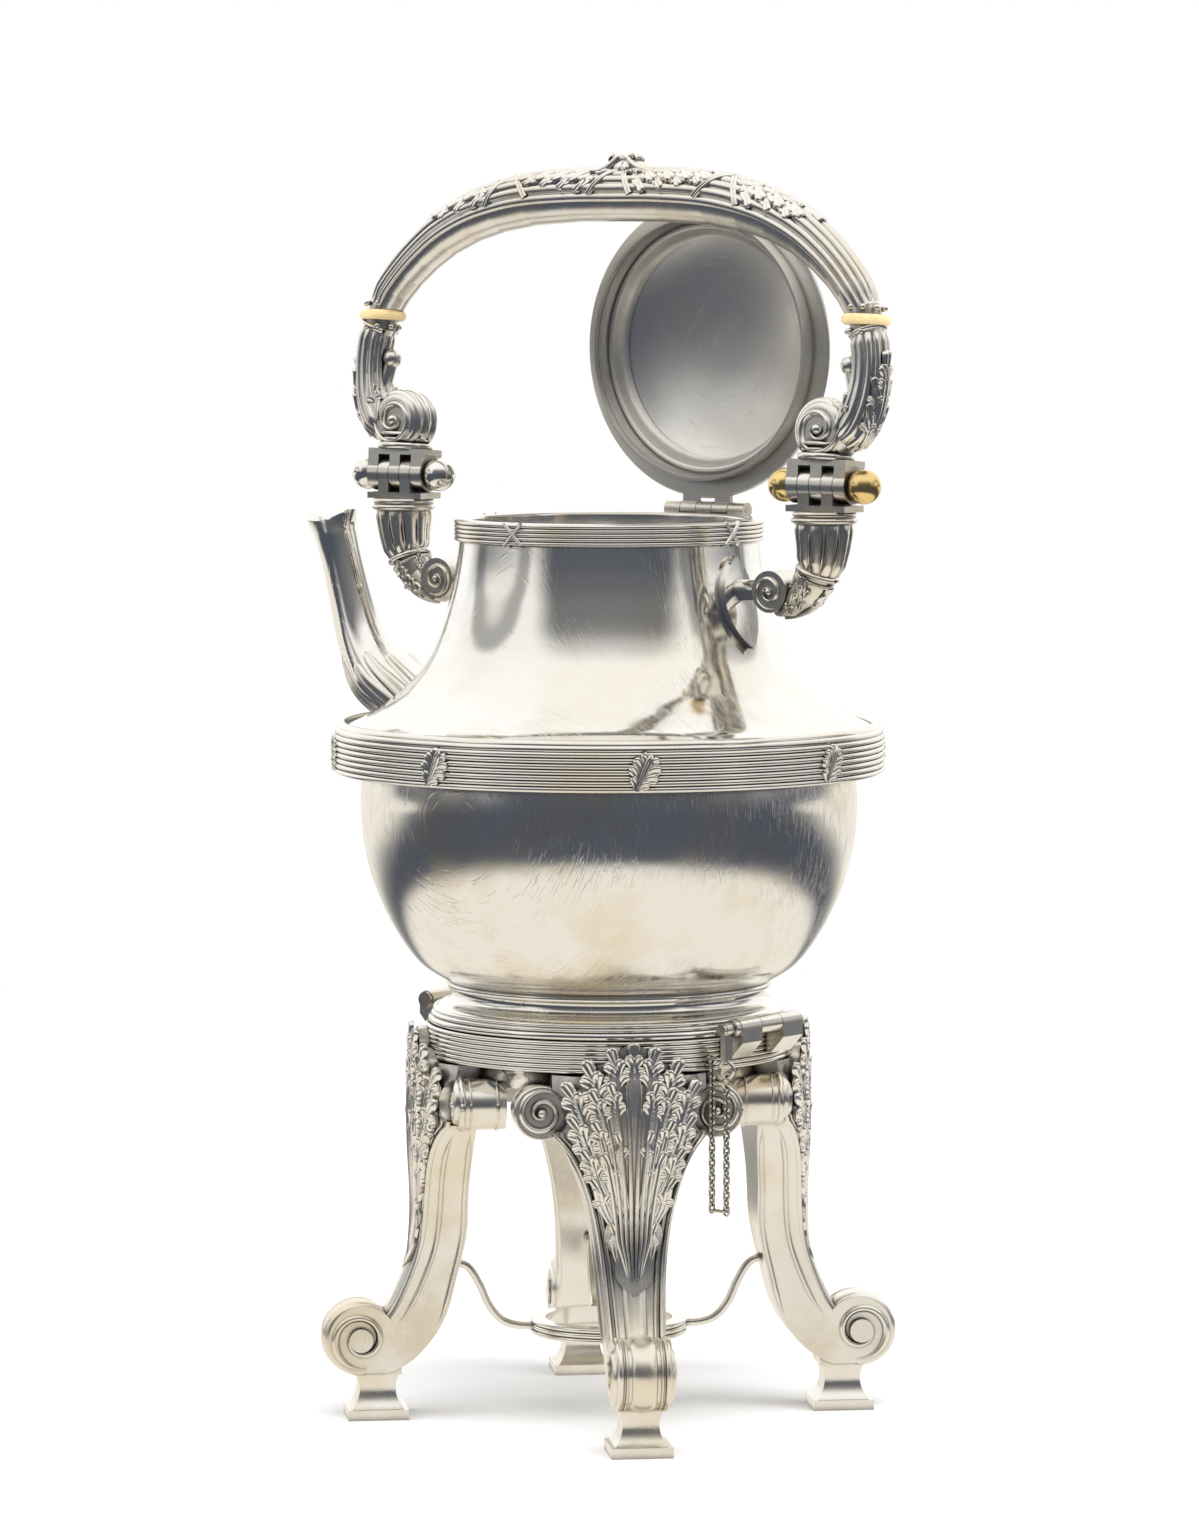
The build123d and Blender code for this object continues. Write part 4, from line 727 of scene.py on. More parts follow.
def spiral_line(centre: Pair, radius: float, turns: float, start: float, hand: int) -> list[Pair]:
    """A spiral from its rim in to its eye.

    Args:
        centre: the eye.
        radius: the rim's radius.
        turns: how many turns.
        start: the rim end's bearing in degrees.
        hand: 1 winds anticlockwise going in, -1 clockwise.

    Returns:
        Places on the surface.
    """
    line = []
    for t in spaced(0.0, 1.0, 60):
        r = radius * (1 - t) ** 0.85 * 0.92 + radius * 0.08
        angle = math.radians(start) + hand * 2 * math.pi * turns * t
        line.append((centre[0] + r * math.cos(angle), centre[1] + r * math.sin(angle)))
    return line


def drum_skin(x: float, z: float, r: float) -> Skin:
    """A roll that lies along Y, as a surface: a runs along it, b round it in degrees."""

    def at(a: float, b: float) -> Vector:
        """The place a along the roll and b round it."""
        return Vector((x + r * math.cos(math.radians(b)), a, z + r * math.sin(math.radians(b))))

    return Skin(at, 0.4)


def volute_face(sketch: Sketch, skin: Skin, centre: Pair, radius: float, start: float, hand: int,
                high: float, turns: float) -> None:
    """Add a scroll's face: a spiral band that narrows into a raised eye.

    Args:
        sketch: what it is added to.
        skin: the flat face.
        centre: the eye's place.
        radius: the scroll's radius.
        start: the bearing where the band comes in.
        hand: which way it winds.
        high: how far the band stands out.
        turns: how many turns.
    """
    line = spiral_line(centre, radius * 0.86, turns, start, hand)
    last = len(line) - 1
    swell = [min(1.0, 0.15 + k / (0.14 * last)) for k in range(last + 1)]
    widths = [radius * lerp(0.15, 0.085, k / last) * swell[k] for k in range(last + 1)]
    skin.bead(sketch, line, widths, [high * share for share in swell], 6)
    out = skin.out(*centre)
    rings = []
    for step in range(7):
        r = radius * 0.2 * math.cos(math.pi / 2 * step / 6)
        lift = high * 1.5 * math.sin(math.pi / 2 * step / 6) - 0.1
        rings.append([skin.at(centre[0] + r * math.cos(t), centre[1] + r * math.sin(t)) + out * lift
                      for t in full_turn(16)])
    sketch.grid(rings, close_v=True)


# ---- the kettle's body ----
@dataclass
class KettleBody:
    """The bowl, shoulder band, neck, collar and foot, all turned."""

    wall: float = 1.0
    bowl: tuple = ((46.5, 126.0), (54.4, 131.2), (61.3, 140.6), (67.0, 152.6), (70.3, 165.0),
                   (71.3, 177.0), (70.7, 186.0))
    neck: tuple = ((75.5, 199.2), (71.1, 201.0), (67.0, 203.4), (61.8, 207.1), (56.8, 211.6),
                   (51.9, 218.1), (48.3, 226.2), (45.5, 236.0), (44.0, 243.5), (42.9, 252.0))
    band_r: float = 79.2
    band_low: float = 186.0
    band_high: float = 197.3
    band_top: float = 200.5
    collar_r: float = 44.4
    collar_bore: float = 40.0
    collar_low: float = 252.0
    segments: int = 224
    collar_top: float = 258.5
    foot_low: float = 114.2
    foot_rim: float = 52.0
    foot_bead: float = 46.6

    def make(self, shop: Workshop) -> None:
        """Build and dress every turned piece: its name, outline, extra steps round, finish and CAD node."""
        turned = (("bowl", self.bowl_outline(), 0, Finish.BOWL, "kettle_bowl"),
                  ("neck", self.neck_outline(), 0, Finish.POLISHED, "kettle_neck"),
                  ("shoulder_reeds", self.band_outline(), 32, Finish.REEDED, "shoulder_band"),
                  ("collar_reeds", self.collar_outline(), 0, Finish.REEDED, "collar_band"),
                  ("kettle_foot_ring", self.foot_outline(), 0, Finish.POLISHED, "kettle_foot"))
        for name, outline, more, finish, node in turned:
            sketch = Sketch().lathe(outline, self.segments + more, closed=name != "bowl")
            shop.fit(sketch, name, "kettle", finish, (node,), 40.0)

    def bowl_outline(self) -> list[Pair]:
        """The round bowl with its flat floor."""
        outer = curve_through(self.bowl, 14)
        low_r, low_z = self.bowl[0]
        floor = [(0.01, low_z - 5), (low_r - 12, low_z - 5)]
        inside = [(low_r - 12, low_z - 4), (0.01, low_z - 4)]
        return floor + outer + moved_square(outer, -self.wall)[::-1] + inside

    def neck_outline(self) -> list[Pair]:
        """The concave shoulder and neck."""
        outer = curve_through(self.neck, 12)
        return outer + moved_square(outer, -self.wall)[::-1]

    def band_outline(self) -> list[Pair]:
        """The reeded shoulder band with a bead on top."""
        r, low, high, top = self.band_r, self.band_low, self.band_high, self.band_top
        root = r - 0.6
        under = [(69.8, low), (root - 0.6, low)]
        inside = [(77.2, top - 2.4), (77.2, low + 1.2), (69.8, low + 1.2)]
        fillet = profile(root, high, ((-0.1, 0.0, 0.1, 0.9, -0.6, 1.7, 6),))
        crest = profile(root, top, (
            (-0.6, -1.4, -1.4, -0.2, -2.4, 0.0, 8), (-2.4, 0.0, -3.0, -0.4, -3.4, -1.4, 5), (-3.4, -2.4)))
        return under + reeds(r, 0.75, low + 0.1, high, 7, 10) + fillet + crest + inside

    def collar_outline(self) -> list[Pair]:
        """The reeded collar round the mouth."""
        r, low, top = self.collar_r, self.collar_low, self.collar_top
        lip = profile(r, top, ((-0.6, -0.2, -1.2, 0.0, -2.0, 0.0, 4),))
        mouth = profile(self.collar_bore, top, ((0.8, 0.0, 0.2, -0.3, 0.0, -0.9, 4),))
        ribs = reeds(r, 0.6, low + 0.2, top - 0.2, 5, 8)
        return [(self.collar_bore, low), (r - 0.9, low)] + ribs + lip + mouth

    def foot_outline(self) -> list[Pair]:
        """The turned foot: thin edge, stepped flange, hollow moulding and bead."""
        low, rim, bead = self.foot_low, self.foot_rim, self.foot_bead
        flange = profile(rim, low, (
            (-0.2, 0.0), (-0.2, 0.0, 0.0, 0.9, -0.3, 1.7, 6), (-1.2, 1.9),
            (-1.2, 1.9, -0.8, 2.5, -1.4, 3.1, 6), (-1.5, 3.2, -1.3, 3.8, -2.2, 4.3, 6),
            (-2.4, 4.3, -3.2, 5.0, -4.4, 5.4, 6)))
        cove = arc_through((rim - 4.4, low + 5.4), (bead - 1.2, low + 6.9), (bead - 1.5, low + 9.4), 12)
        top = profile(bead, low, (
            (-1.1, 9.6), (-1.1, 9.6, 0.1, 10.6, -0.6, 11.8, 10), (-1.5, 12.0), (-4.0, 12.0)))
        return [(bead - 4, low)] + flange + cove + top


@dataclass
class BandOrnament:
    """Leaf clasps on the shoulder band and crossed ribbons on the collar."""

    band_r: float = 79.1
    band_middle: float = 191.7
    collar_r: float = 44.3
    collar_middle: float = 255.25

    def make(self, shop: Workshop) -> None:
        """Build and dress both sets."""
        clasps, crosses = Sketch(), Sketch()
        for index in range(8):
            clasps.join(self.clasp(), turned_about_z(index * 45))
        shop.fit(clasps, "leaf_clasps", "kettle", Finish.LEAF, ("band_leaf_clasps",))
        for bearing in (-90, 0, 180):
            crosses.join(self.cross(), turned_about_z(bearing))
        shop.fit(crosses, "collar_ribbons", "kettle", Finish.REEDED, ("collar_ribbon_crosses",))

    def clasp(self) -> Sketch:
        """One leaf clasp at bearing 0: a lobed leaf that leans across the reeds."""
        lean = math.radians(-24.0)
        c, s = math.cos(lean), math.sin(lean)

        def at(a: float, b: float) -> Vector:
            """The place a across and b up the leaning leaf, on the band."""
            across, up = a * c - b * s, min(max(a * s + b * c, -5.5), 5.5)
            turn = across / self.band_r
            return Vector((self.band_r * math.cos(turn), self.band_r * math.sin(turn), self.band_middle + up))

        skin = Skin(at)
        sketch = Sketch()
        fingers = ((-5.4, 3.0, -2.6, 1.5), (-3.4, 4.5, -0.2, 1.7),
                   (-1.0, 4.3, 2.4, 1.7), (1.4, 2.8, 4.6, 1.5))
        for side in SIDES:
            for k, (low, reach, high, size) in enumerate(fingers):
                root, tip = (side * 0.3, low), (side * reach, high)
                skin.finger(sketch, root, tip, side * 0.8, size, 1.25 - 0.06 * k, 0.4, 0.05, 10)
        skin.finger(sketch, (0.0, -5.6), (0.0, 5.6), 0.0, 1.3, 1.35, 0.3, 0.1, 14)
        return sketch

    def cross(self) -> Sketch:
        """One crossed ribbon at bearing 0, each strand with a groove."""
        r = self.collar_r
        skin = Skin(lambda a, b: Vector((r * math.cos(a / r), r * math.sin(a / r), b)))
        sketch = Sketch()
        for side in SIDES:
            line = [(side * off, self.collar_middle + off) for off in spaced(-3.1, 3.1, 12)]
            skin.lobe(sketch, line, [0.75] * 13, [0.5 + 0.12 * (side > 0)] * 13)
        return sketch


# ---- the spout ----
@dataclass
class SpoutPiece:
    """The swan spout with its leafed root and pouring lip. Distances run forward from the axis."""

    line: tuple = ((68.0, 199.0, 19.0, 68), (77.5, 205.0, 20.5, 52), (83.6, 209.4, 20.2, 52),
                   (88.2, 214.2, 17.6, 57), (91.6, 219.4, 15.6, 62), (94.2, 225.2, 14.2, 68),
                   (97.0, 234.0, 13.0, 72), (100.0, 244.0, 12.4, 73), (102.2, 251.0, 13.0, 76))
    wall: float = 1.0
    mouth_at: float = 105.6
    mouth_z: float = 258.6
    half_long: float = 9.9
    half_wide: float = 6.3
    dip: float = 3.6
    cut_r: float = 14.0
    flare_at: float = 0.86
    segments: int = 72
    rings: int = 70

    def section(self, t: float, inward: float, segments: int) -> list[Vector]:
        """One ring of the spout's wall.

        Args:
            t: 0 at the root, 1 at the mouth.
            inward: how far the wall's face lies inside its outer one.
            segments: points round it.

        Returns:
            The ring.
        """
        smooth = curve_through(self.line, 6)
        last = len(smooth) - 1
        share = min(t / self.flare_at, 1.0) * last
        k = min(int(share), last - 1)
        x, z, size, slope = (lerp(p, q, share - k) for p, q in zip(smooth[k], smooth[k + 1]))
        flare = max((t - self.flare_at) / (1 - self.flare_at), 0.0)
        x, z = lerp(x, self.mouth_at, flare), lerp(z, self.mouth_z, flare)
        slope = lerp(slope, 90.0, flare)
        half_a = lerp(size / 2, self.half_wide, flare) - inward
        half_b = lerp(size / 2, self.half_long, flare ** 1.5) - inward
        ring = []
        for turn in full_turn(segments):
            across, along = half_a * math.sin(turn), half_b * math.cos(turn)
            px = x + along * math.sin(math.radians(slope))
            pz = z - along * math.cos(math.radians(slope))
            cut = self.mouth_z + self.cut_r - self.dip
            reach = self.cut_r ** 2 - (px - self.mouth_at) ** 2
            if t > 0.8 and reach > 0:
                pz = min(pz, cut - math.sqrt(reach))
            ring.append(Vector((-px, across, pz)))
        return ring

    def make(self, shop: Workshop) -> None:
        """Build and dress the tube and its leaf mount."""
        walls = [[self.section(k / self.rings, inward, self.segments) for k in range(self.rings + 1)]
                 for inward in (0.0, self.wall)]
        tube, mount = Sketch(), Sketch()
        tube.grid(walls[0] + walls[1][::-1], close_v=True)
        shop.fit(tube, "spout_tube", "kettle", Finish.POLISHED, ("spout",), 50.0)
        widths = [2.7 * Skin.taper(k / 14) * (1 - 0.35 * k / 14) for k in range(15)]
        heights = [0.9 * (0.5 + 0.5 * k / 14) * min(1.0, (14 - k) / 2 + 0.15) for k in range(15)]
        for turn in range(-150, 180, 30):
            a = math.radians(turn)
            reach = (0.315 if turn % 60 else 0.37) * (1.0 + 0.16 * math.cos(a))
            places = [(a, t) for t in spaced(0.06, reach, 14)]
            path = [self.on_tube(*place) for place in places]
            mount.lobe(path, [self.out_of_tube(*place) for place in places], widths, heights, 0.4)
        shop.fit(mount, "spout_leaves", "kettle", Finish.CHASED, ("spout_mount_leaf",))

    def on_tube(self, a: float, t: float) -> Vector:
        """A point of the tube at an angle a round it, 0 at the front."""
        ring = self.section(t, 0.0, self.segments)
        share = (a % (2 * math.pi)) / (2 * math.pi) * self.segments
        k = int(share) % self.segments
        return ring[k].lerp(ring[(k + 1) % self.segments], share - int(share))

    def out_of_tube(self, a: float, t: float) -> Vector:
        """The outward direction at that point."""
        ring = self.section(t, 0.0, 24)
        return (self.on_tube(a, t) - sum(ring, Vector()) / len(ring)).normalized()


# ---- the stand's ornament ----
@dataclass
class LegOrnament:
    """What is chased and cast on the four legs, worked at bearing 0."""

    round_at: float = 25.3
    front: tuple = ((67.6, 26.3), (63.0, 32.3), (58.9, 41.5), (56.1, 51.0), (55.4, 62.0), (56.1, 78.0),
                    (56.4, 92.0), (56.2, 101.0), (56.2, 108.0), (55.3, 114.5))
    back: tuple = ((60.6, 15.3), (53.1, 21.8), (48.1, 29.9), (45.0, 41.0), (42.2, 54.0), (41.8, 66.0),
                   (41.0, 78.0), (40.2, 100.0))
    half: tuple = ((7.7, 11.0), (7.9, 27.0), (8.5, 40.0), (9.4, 52.0), (11.2, 64.0), (14.0, 74.5),
                   (18.0, 82.6), (21.8, 86.9))
    bearings: tuple = (45.0, 135.0, 225.0, 315.0)
    leaf_proud: float = 1.2
    scroll_x: float = 72.6
    scroll_z: float = 23.3
    scroll_r: float = 9.6
    scroll_half: float = 7.75
    volute_off: float = 24.8
    volute_z: float = 93.3
    volute_r: float = 7.2
    volute_face_x: float = 46.45

    def make(self, shop: Workshop) -> None:
        """Build and dress one set for each leg."""
        leaf, shaft = self.leaf(), self.shaft()
        for index, bearing in enumerate(self.bearings, 1):
            turn = turned_about_z(bearing)
            shop.fit(Sketch().join(leaf, turn), f"acanthus_{index}", "stand", Finish.LEAF)
            shop.fit(Sketch().join(shaft, turn), f"leg_mouldings_{index}", "stand", Finish.CAST)

    def face(self, proud: float) -> Skin:
        """The leg's rounded outward face, moved out by a distance."""
        line = curve_through(self.front, 6)

        def at(a: float, z: float) -> Vector:
            """The place a across and at a height on the face."""
            radius = value_at(line, z) + proud - self.round_at
            return Vector((self.round_at + math.sqrt(max(radius * radius - a * a, 1.0)), a, z))

        return Skin(at)

    def width(self, z: float) -> float:
        """Half the leg's width at a height."""
        return value_at(curve_through(self.half, 4), z)

    def leaf(self) -> Sketch:
        """The acanthus over the knee: pairs of fronds that open outward from a ribbed stem.

        Each frond is its root, its tip, its size and its number of fingers.
        """
        sketch = Sketch()
        skin = self.face(self.leaf_proud)
        fronds = (((4.6, 60.0), (10.2, 75.0), 5.4, 3), ((4.4, 62.0), (12.6, 83.0), 6.0, 5),
                  ((4.0, 64.0), (15.6, 92.0), 6.8, 5), ((3.4, 66.0), (17.0, 101.0), 7.2, 5),
                  ((2.4, 68.0), (11.6, 107.2), 7.2, 5), ((1.2, 72.0), (5.0, 110.8), 6.6, 5))
        inner = (((2.6, 62.0), (7.2, 82.0), 5.4, 3), ((2.4, 64.0), (9.6, 91.0), 6.0, 5),
                 ((2.0, 66.0), (10.2, 99.5), 6.4, 5), ((1.4, 66.0), (5.4, 101.5), 6.0, 5),
                 ((1.4, 62.0), (3.8, 88.0), 4.8, 3))
        layers = ((skin, fronds, 1.2, 0.25, 1.35, 58.0),
                  (self.face(self.leaf_proud + 0.45), inner, 0.9, 0.2, 1.15, 50.0))
        shares = spaced(0.0, 1.0, 30)
        for side in SIDES:
            for layer, rows, bend, more, high, spread in layers:
                for k, (root, tip, size, fingers) in enumerate(rows):
                    start, end = (side * root[0], root[1]), (side * tip[0], tip[1])
                    layer.frond(sketch, start, end, -side * (bend + more * k), size, high, fingers, spread,
                                -side)
            for off in (0.75, 2.1, 3.4, 4.7):
                rib = [(side * off * (0.30 + 0.55 * min(1.0, 4.0 * t) + 1.45 * t * t),
                        lerp(42.0 + 0.9 * off, 104.0 - 2.2 * off, t)) for t in shares]
                widths = [lerp(0.45, 0.95, min(1.0, 3.0 * t)) for t in shares]
                heights = [1.15 * min(1.0, 0.1 + 6.0 * t) * Skin.taper(t) for t in shares]
                skin.bead(sketch, rib, widths, heights)
            skin.frond(sketch, (side * 3.9, 50.0), (side * 5.2, 62.0), -side * 0.9, 4.2, 1.2, 3, 44.0, -side)
        skin.frond(sketch, (0.0, 76.0), (0.0, 112.0), 0.0, 6.4, 1.5, 5, 48.0)
        return sketch

    def shaft(self) -> Sketch:
        """Rounded channel, edge beads, foot scroll and knee scrolls."""
        sketch = Sketch()
        for add in (self.add_channel, self.add_side_borders, self.add_foot_scroll, self.add_knee_scrolls):
            add(sketch)
        return sketch

    def add_channel(self, sketch: Sketch) -> None:
        """The round middle channel and the beads along the leg's two edges."""
        skin = self.face(0.0)
        rows = spaced(27.5, 60.0, 24)
        high = [1.7 - 0.9 * share ** 2 for share in spaced(0.0, 1.0, 24)]
        skin.bead(sketch, [(0.0, z) for z in rows], [3.3 + 0.02 * (z - 27) for z in rows], high, 12)
        for side in SIDES:
            for inset, wide, high in ((0.95, 0.85, 1.1), (2.75, 0.6, 0.75)):
                line = [(side * (self.width(z) - inset), z) for z in spaced(27.5, 88.0, 40)]
                skin.bead(sketch, line, wide, high)

    def add_side_borders(self, sketch: Sketch) -> None:
        """Beads that frame the legs' flat sides, faded at both ends."""
        front, back = curve_through(self.front, 6), curve_through(self.back, 6)
        fade = [0.8 * min(1.0, 0.1 + min(k, 36 - k) / 4) for k in range(37)]
        for side in SIDES:
            skin = Skin(lambda a, z, s=side: Vector((-s * a, s * self.width(z), z)))
            for rim, inset in ((front, -3.6), (back, 1.3)):
                line = []
                for z in spaced(28.0, 84.0, 36):
                    sunk = 0.0
                    if rim is front:
                        radius = value_at(front, z) - self.round_at
                        sunk = radius - math.sqrt(max(radius * radius - self.width(z) ** 2, 1.0))
                    line.append((-side * (value_at(rim, z) + inset - sunk * 0.9), z))
                skin.bead(sketch, line, fade, fade)

    def add_foot_scroll(self, sketch: Sketch) -> None:
        """The rolled foot: bands round its drum and a spiral on each side."""
        x, z, r = self.scroll_x, self.scroll_z, self.scroll_r
        drum = drum_skin(x, z, r)
        turns = spaced(158.0, -96.0, 44)
        high = [1.3 * Skin.taper(abs(k - 22) / 22) for k in range(45)]
        drum.bead(sketch, [(0.0, b) for b in turns], 3.9, high, 14)
        for side in SIDES:
            drum.bead(sketch, [(side * 6.7, b) for b in turns], 1.0, 0.75)
            drum.bead(sketch, [(side * 4.95, b) for b in turns], 0.5, 0.45, 6)
            plate = Skin(lambda a, b, s=side: Vector((x - s * a, s * self.scroll_half, z + b)))
            volute_face(sketch, plate, (0.0, 0.0), r * 1.03, -90.0 + side * 10, -side, 1.2, 1.7)

    def add_knee_scrolls(self, sketch: Sketch) -> None:
        """A spiral on the outward face of each knee volute, and its feeding band."""
        skin = Skin(lambda a, b: Vector((self.volute_face_x, a, b)))
        r = self.volute_r - 0.05
        turn = [r * angle for angle in spaced(0.0, 2 * math.pi, 40)]
        for side in SIDES:
            centre = (side * self.volute_off, self.volute_z)
            volute_face(sketch, skin, centre, self.volute_r * 1.08, 90.0 + side * 40, -side, 1.5, 1.8)
            roll = Skin(lambda a, b, c=centre: Vector((a, c[0] + r * math.cos(b / r),
                                                       c[1] - r * math.sin(b / r))))
            for x, wide, high in ((45.4, 1.0, 0.7), (43.2, 0.5, 0.45), (35.5, 0.6, 0.5)):
                roll.bead(sketch, [(x, b) for b in turn], wide, high)


@dataclass
class BurnerStraps:
    """The four flat S straps from the legs to the burner ring."""

    line: tuple = ((47.2, 42.6), (43.8, 43.9), (40.6, 42.4), (37.6, 37.6), (34.9, 31.6), (31.4, 27.4),
                   (27.2, 25.7), (22.2, 25.3))
    half_wide: float = 1.8
    half_thick: float = 1.15

    def make(self, shop: Workshop) -> None:
        """Build and dress the straps as one piece."""
        path = curve_through(self.line, 8)
        rows = []
        for k, (x, z) in enumerate(path):
            rise = square_to(run_between(path[max(k - 1, 0)], path[min(k + 1, len(path) - 1)]))
            row = []
            for turn in full_turn(16):
                c, s = math.cos(turn), math.sin(turn)
                flat = math.copysign(abs(c) ** 0.45, c) * self.half_wide
                thick = math.copysign(abs(s) ** 0.7, s) * self.half_thick
                row.append(Vector((x, flat, z)) + rise * thick)
            rows.append(row)
        strap, straps = Sketch(), Sketch()
        strap.grid(rows, close_v=True)
        for bearing in LegOrnament.bearings:
            straps.join(strap, turned_about_z(bearing))
        nodes = tuple(f"burner_strut_{k}" for k in (1, 2, 3, 4))
        shop.fit(straps, "burner_straps", "stand", Finish.CAST, nodes, 50.0)


# ---- ornament on bent tubes ----
class BentTube:
    """A round tube in the upright plane through the kettle's axis, as a surface for ornament."""

    def __init__(self, stations: Sequence[Sequence[float]], unit: float = 6.0) -> None:
        """Measure the tube.

        Args:
            stations: (x, z, diameter) along its middle line.
            unit: the radius at which one millimetre round it is one millimetre.
        """
        self.unit = unit
        self.line = curve_through(stations, 10)
        self.runs = [0.0]
        for before, after in zip(self.line, self.line[1:]):
            self.runs.append(self.runs[-1] + math.hypot(after[0] - before[0], after[1] - before[1]))
        self.long = self.runs[-1]

    def spot(self, s: float) -> tuple[Vector, Vector, float]:
        """The middle point, the running direction and the radius at a distance along the tube."""
        s = min(max(s, 0.0), self.long)
        k = next((i for i in range(len(self.runs) - 1) if self.runs[i + 1] >= s), len(self.runs) - 2)
        share = (s - self.runs[k]) / max(self.runs[k + 1] - self.runs[k], 1e-6)
        x, z, size = (lerp(p, q, share) for p, q in zip(self.line[k], self.line[k + 1]))
        run = run_between(self.line[max(k - 1, 0)], self.line[min(k + 2, len(self.line) - 1)])
        return Vector((x, 0.0, z)), run, size / 2

    def skin(self, proud: float = 0.0) -> Skin:
        """Its surface: a runs along it, b round it from its outer side."""

        def at(a: float, b: float) -> Vector:
            """The place a along the tube and b round it."""
            middle, run, radius = self.spot(a)
            turn = b / self.unit
            return middle + (square_to(run) * math.cos(turn) + SIDEWAYS * math.sin(turn)) * (radius + proud)

        return Skin(at, 0.2)

    def reed(self, sketch: Sketch, turn: float, start: float, end: float, share: float, high: float,
             steps: int = 40) -> None:
        """Lay one reed along the tube.

        Args:
            sketch: what it is added to.
            turn: its place round the tube in degrees.
            start: where it starts along the tube.
            end: where it ends.
            share: half its width as a share of the radius.
            high: how far it stands out.
            steps: points along it.
        """
        rows = spaced(start, end, steps)
        heights = [high * min(1.0, min(k, steps - k) / 3 + 0.05) for k in range(steps + 1)]
        line = [(s, math.radians(turn) * self.unit) for s in rows]
        self.skin().bead(sketch, line, [self.spot(s)[2] * share for s in rows], heights, 7)

    def hoop(self, sketch: Sketch, s: float, wide: float, high: float) -> None:
        """Lay one round moulding across the tube."""
        line = [(s, math.pi * self.unit * share) for share in spaced(-1.0, 1.0, 36)]
        self.skin().bead(sketch, line, wide, high)

    def ribbon_cross(self, sketch: Sketch, s: float, reach: float, lift: float) -> None:
        """Lay two grooved ribbons that cross on its outer side."""
        for side in SIDES:
            line = [(s + side * reach * 0.75 * t / 10, self.unit * 1.55 * t / 10) for t in range(-10, 11)]
            self.skin(lift).lobe(sketch, line, [1.15] * 21, [0.75 + 0.2 * (side > 0)] * 21, 0.4)


def scroll_sides(sketch: Sketch, centre: Pair, half: float, radius: float, start: float,
                 high: float) -> None:
    """Add a spiral to both flat ends of a roll that lies along Y.

    Args:
        sketch: what it is added to.
        centre: the roll's (x, z).
        half: half its length.
        radius: its radius.
        start: the bearing where the band arrives, seen from -Y, winding clockwise.
        high: how far the band stands out.
    """
    for side in SIDES:
        plate = Skin(lambda a, b, s=side: Vector((centre[0] - s * a, s * half, centre[1] + b)))
        volute_face(sketch, plate, (0.0, 0.0), radius, start if side < 0 else 180.0 - start, side, high, 1.7)


def ball(sketch: Sketch, centre: Vector, radius: float) -> None:
    """Add one small ball."""
    rows = []
    for step in range(9):
        c, s = math.cos(math.pi * step / 8), math.sin(math.pi * step / 8)
        rows.append([centre + Vector((s * math.cos(t), s * math.sin(t), -c)) * radius for t in full_turn(12)])
    sketch.grid(rows, close_v=True)


def neck_hoops(sketch: Sketch, middle: float, hoops: Sequence[Sequence[float]]) -> None:
    """Add round mouldings on an upright neck.

    Args:
        sketch: what they are added to.
        middle: the neck's distance from the kettle's axis.
        hoops: (radius, height, half width, how far it stands out) of each.
    """
    for radius, z, wide, high in hoops:
        outline = [(radius + high * math.cos(t), z + wide * math.sin(t)) for t in full_turn(14)]
        sketch.join(Sketch().lathe(outline, 48), Matrix.Translation((middle, 0.0, 0.0)))


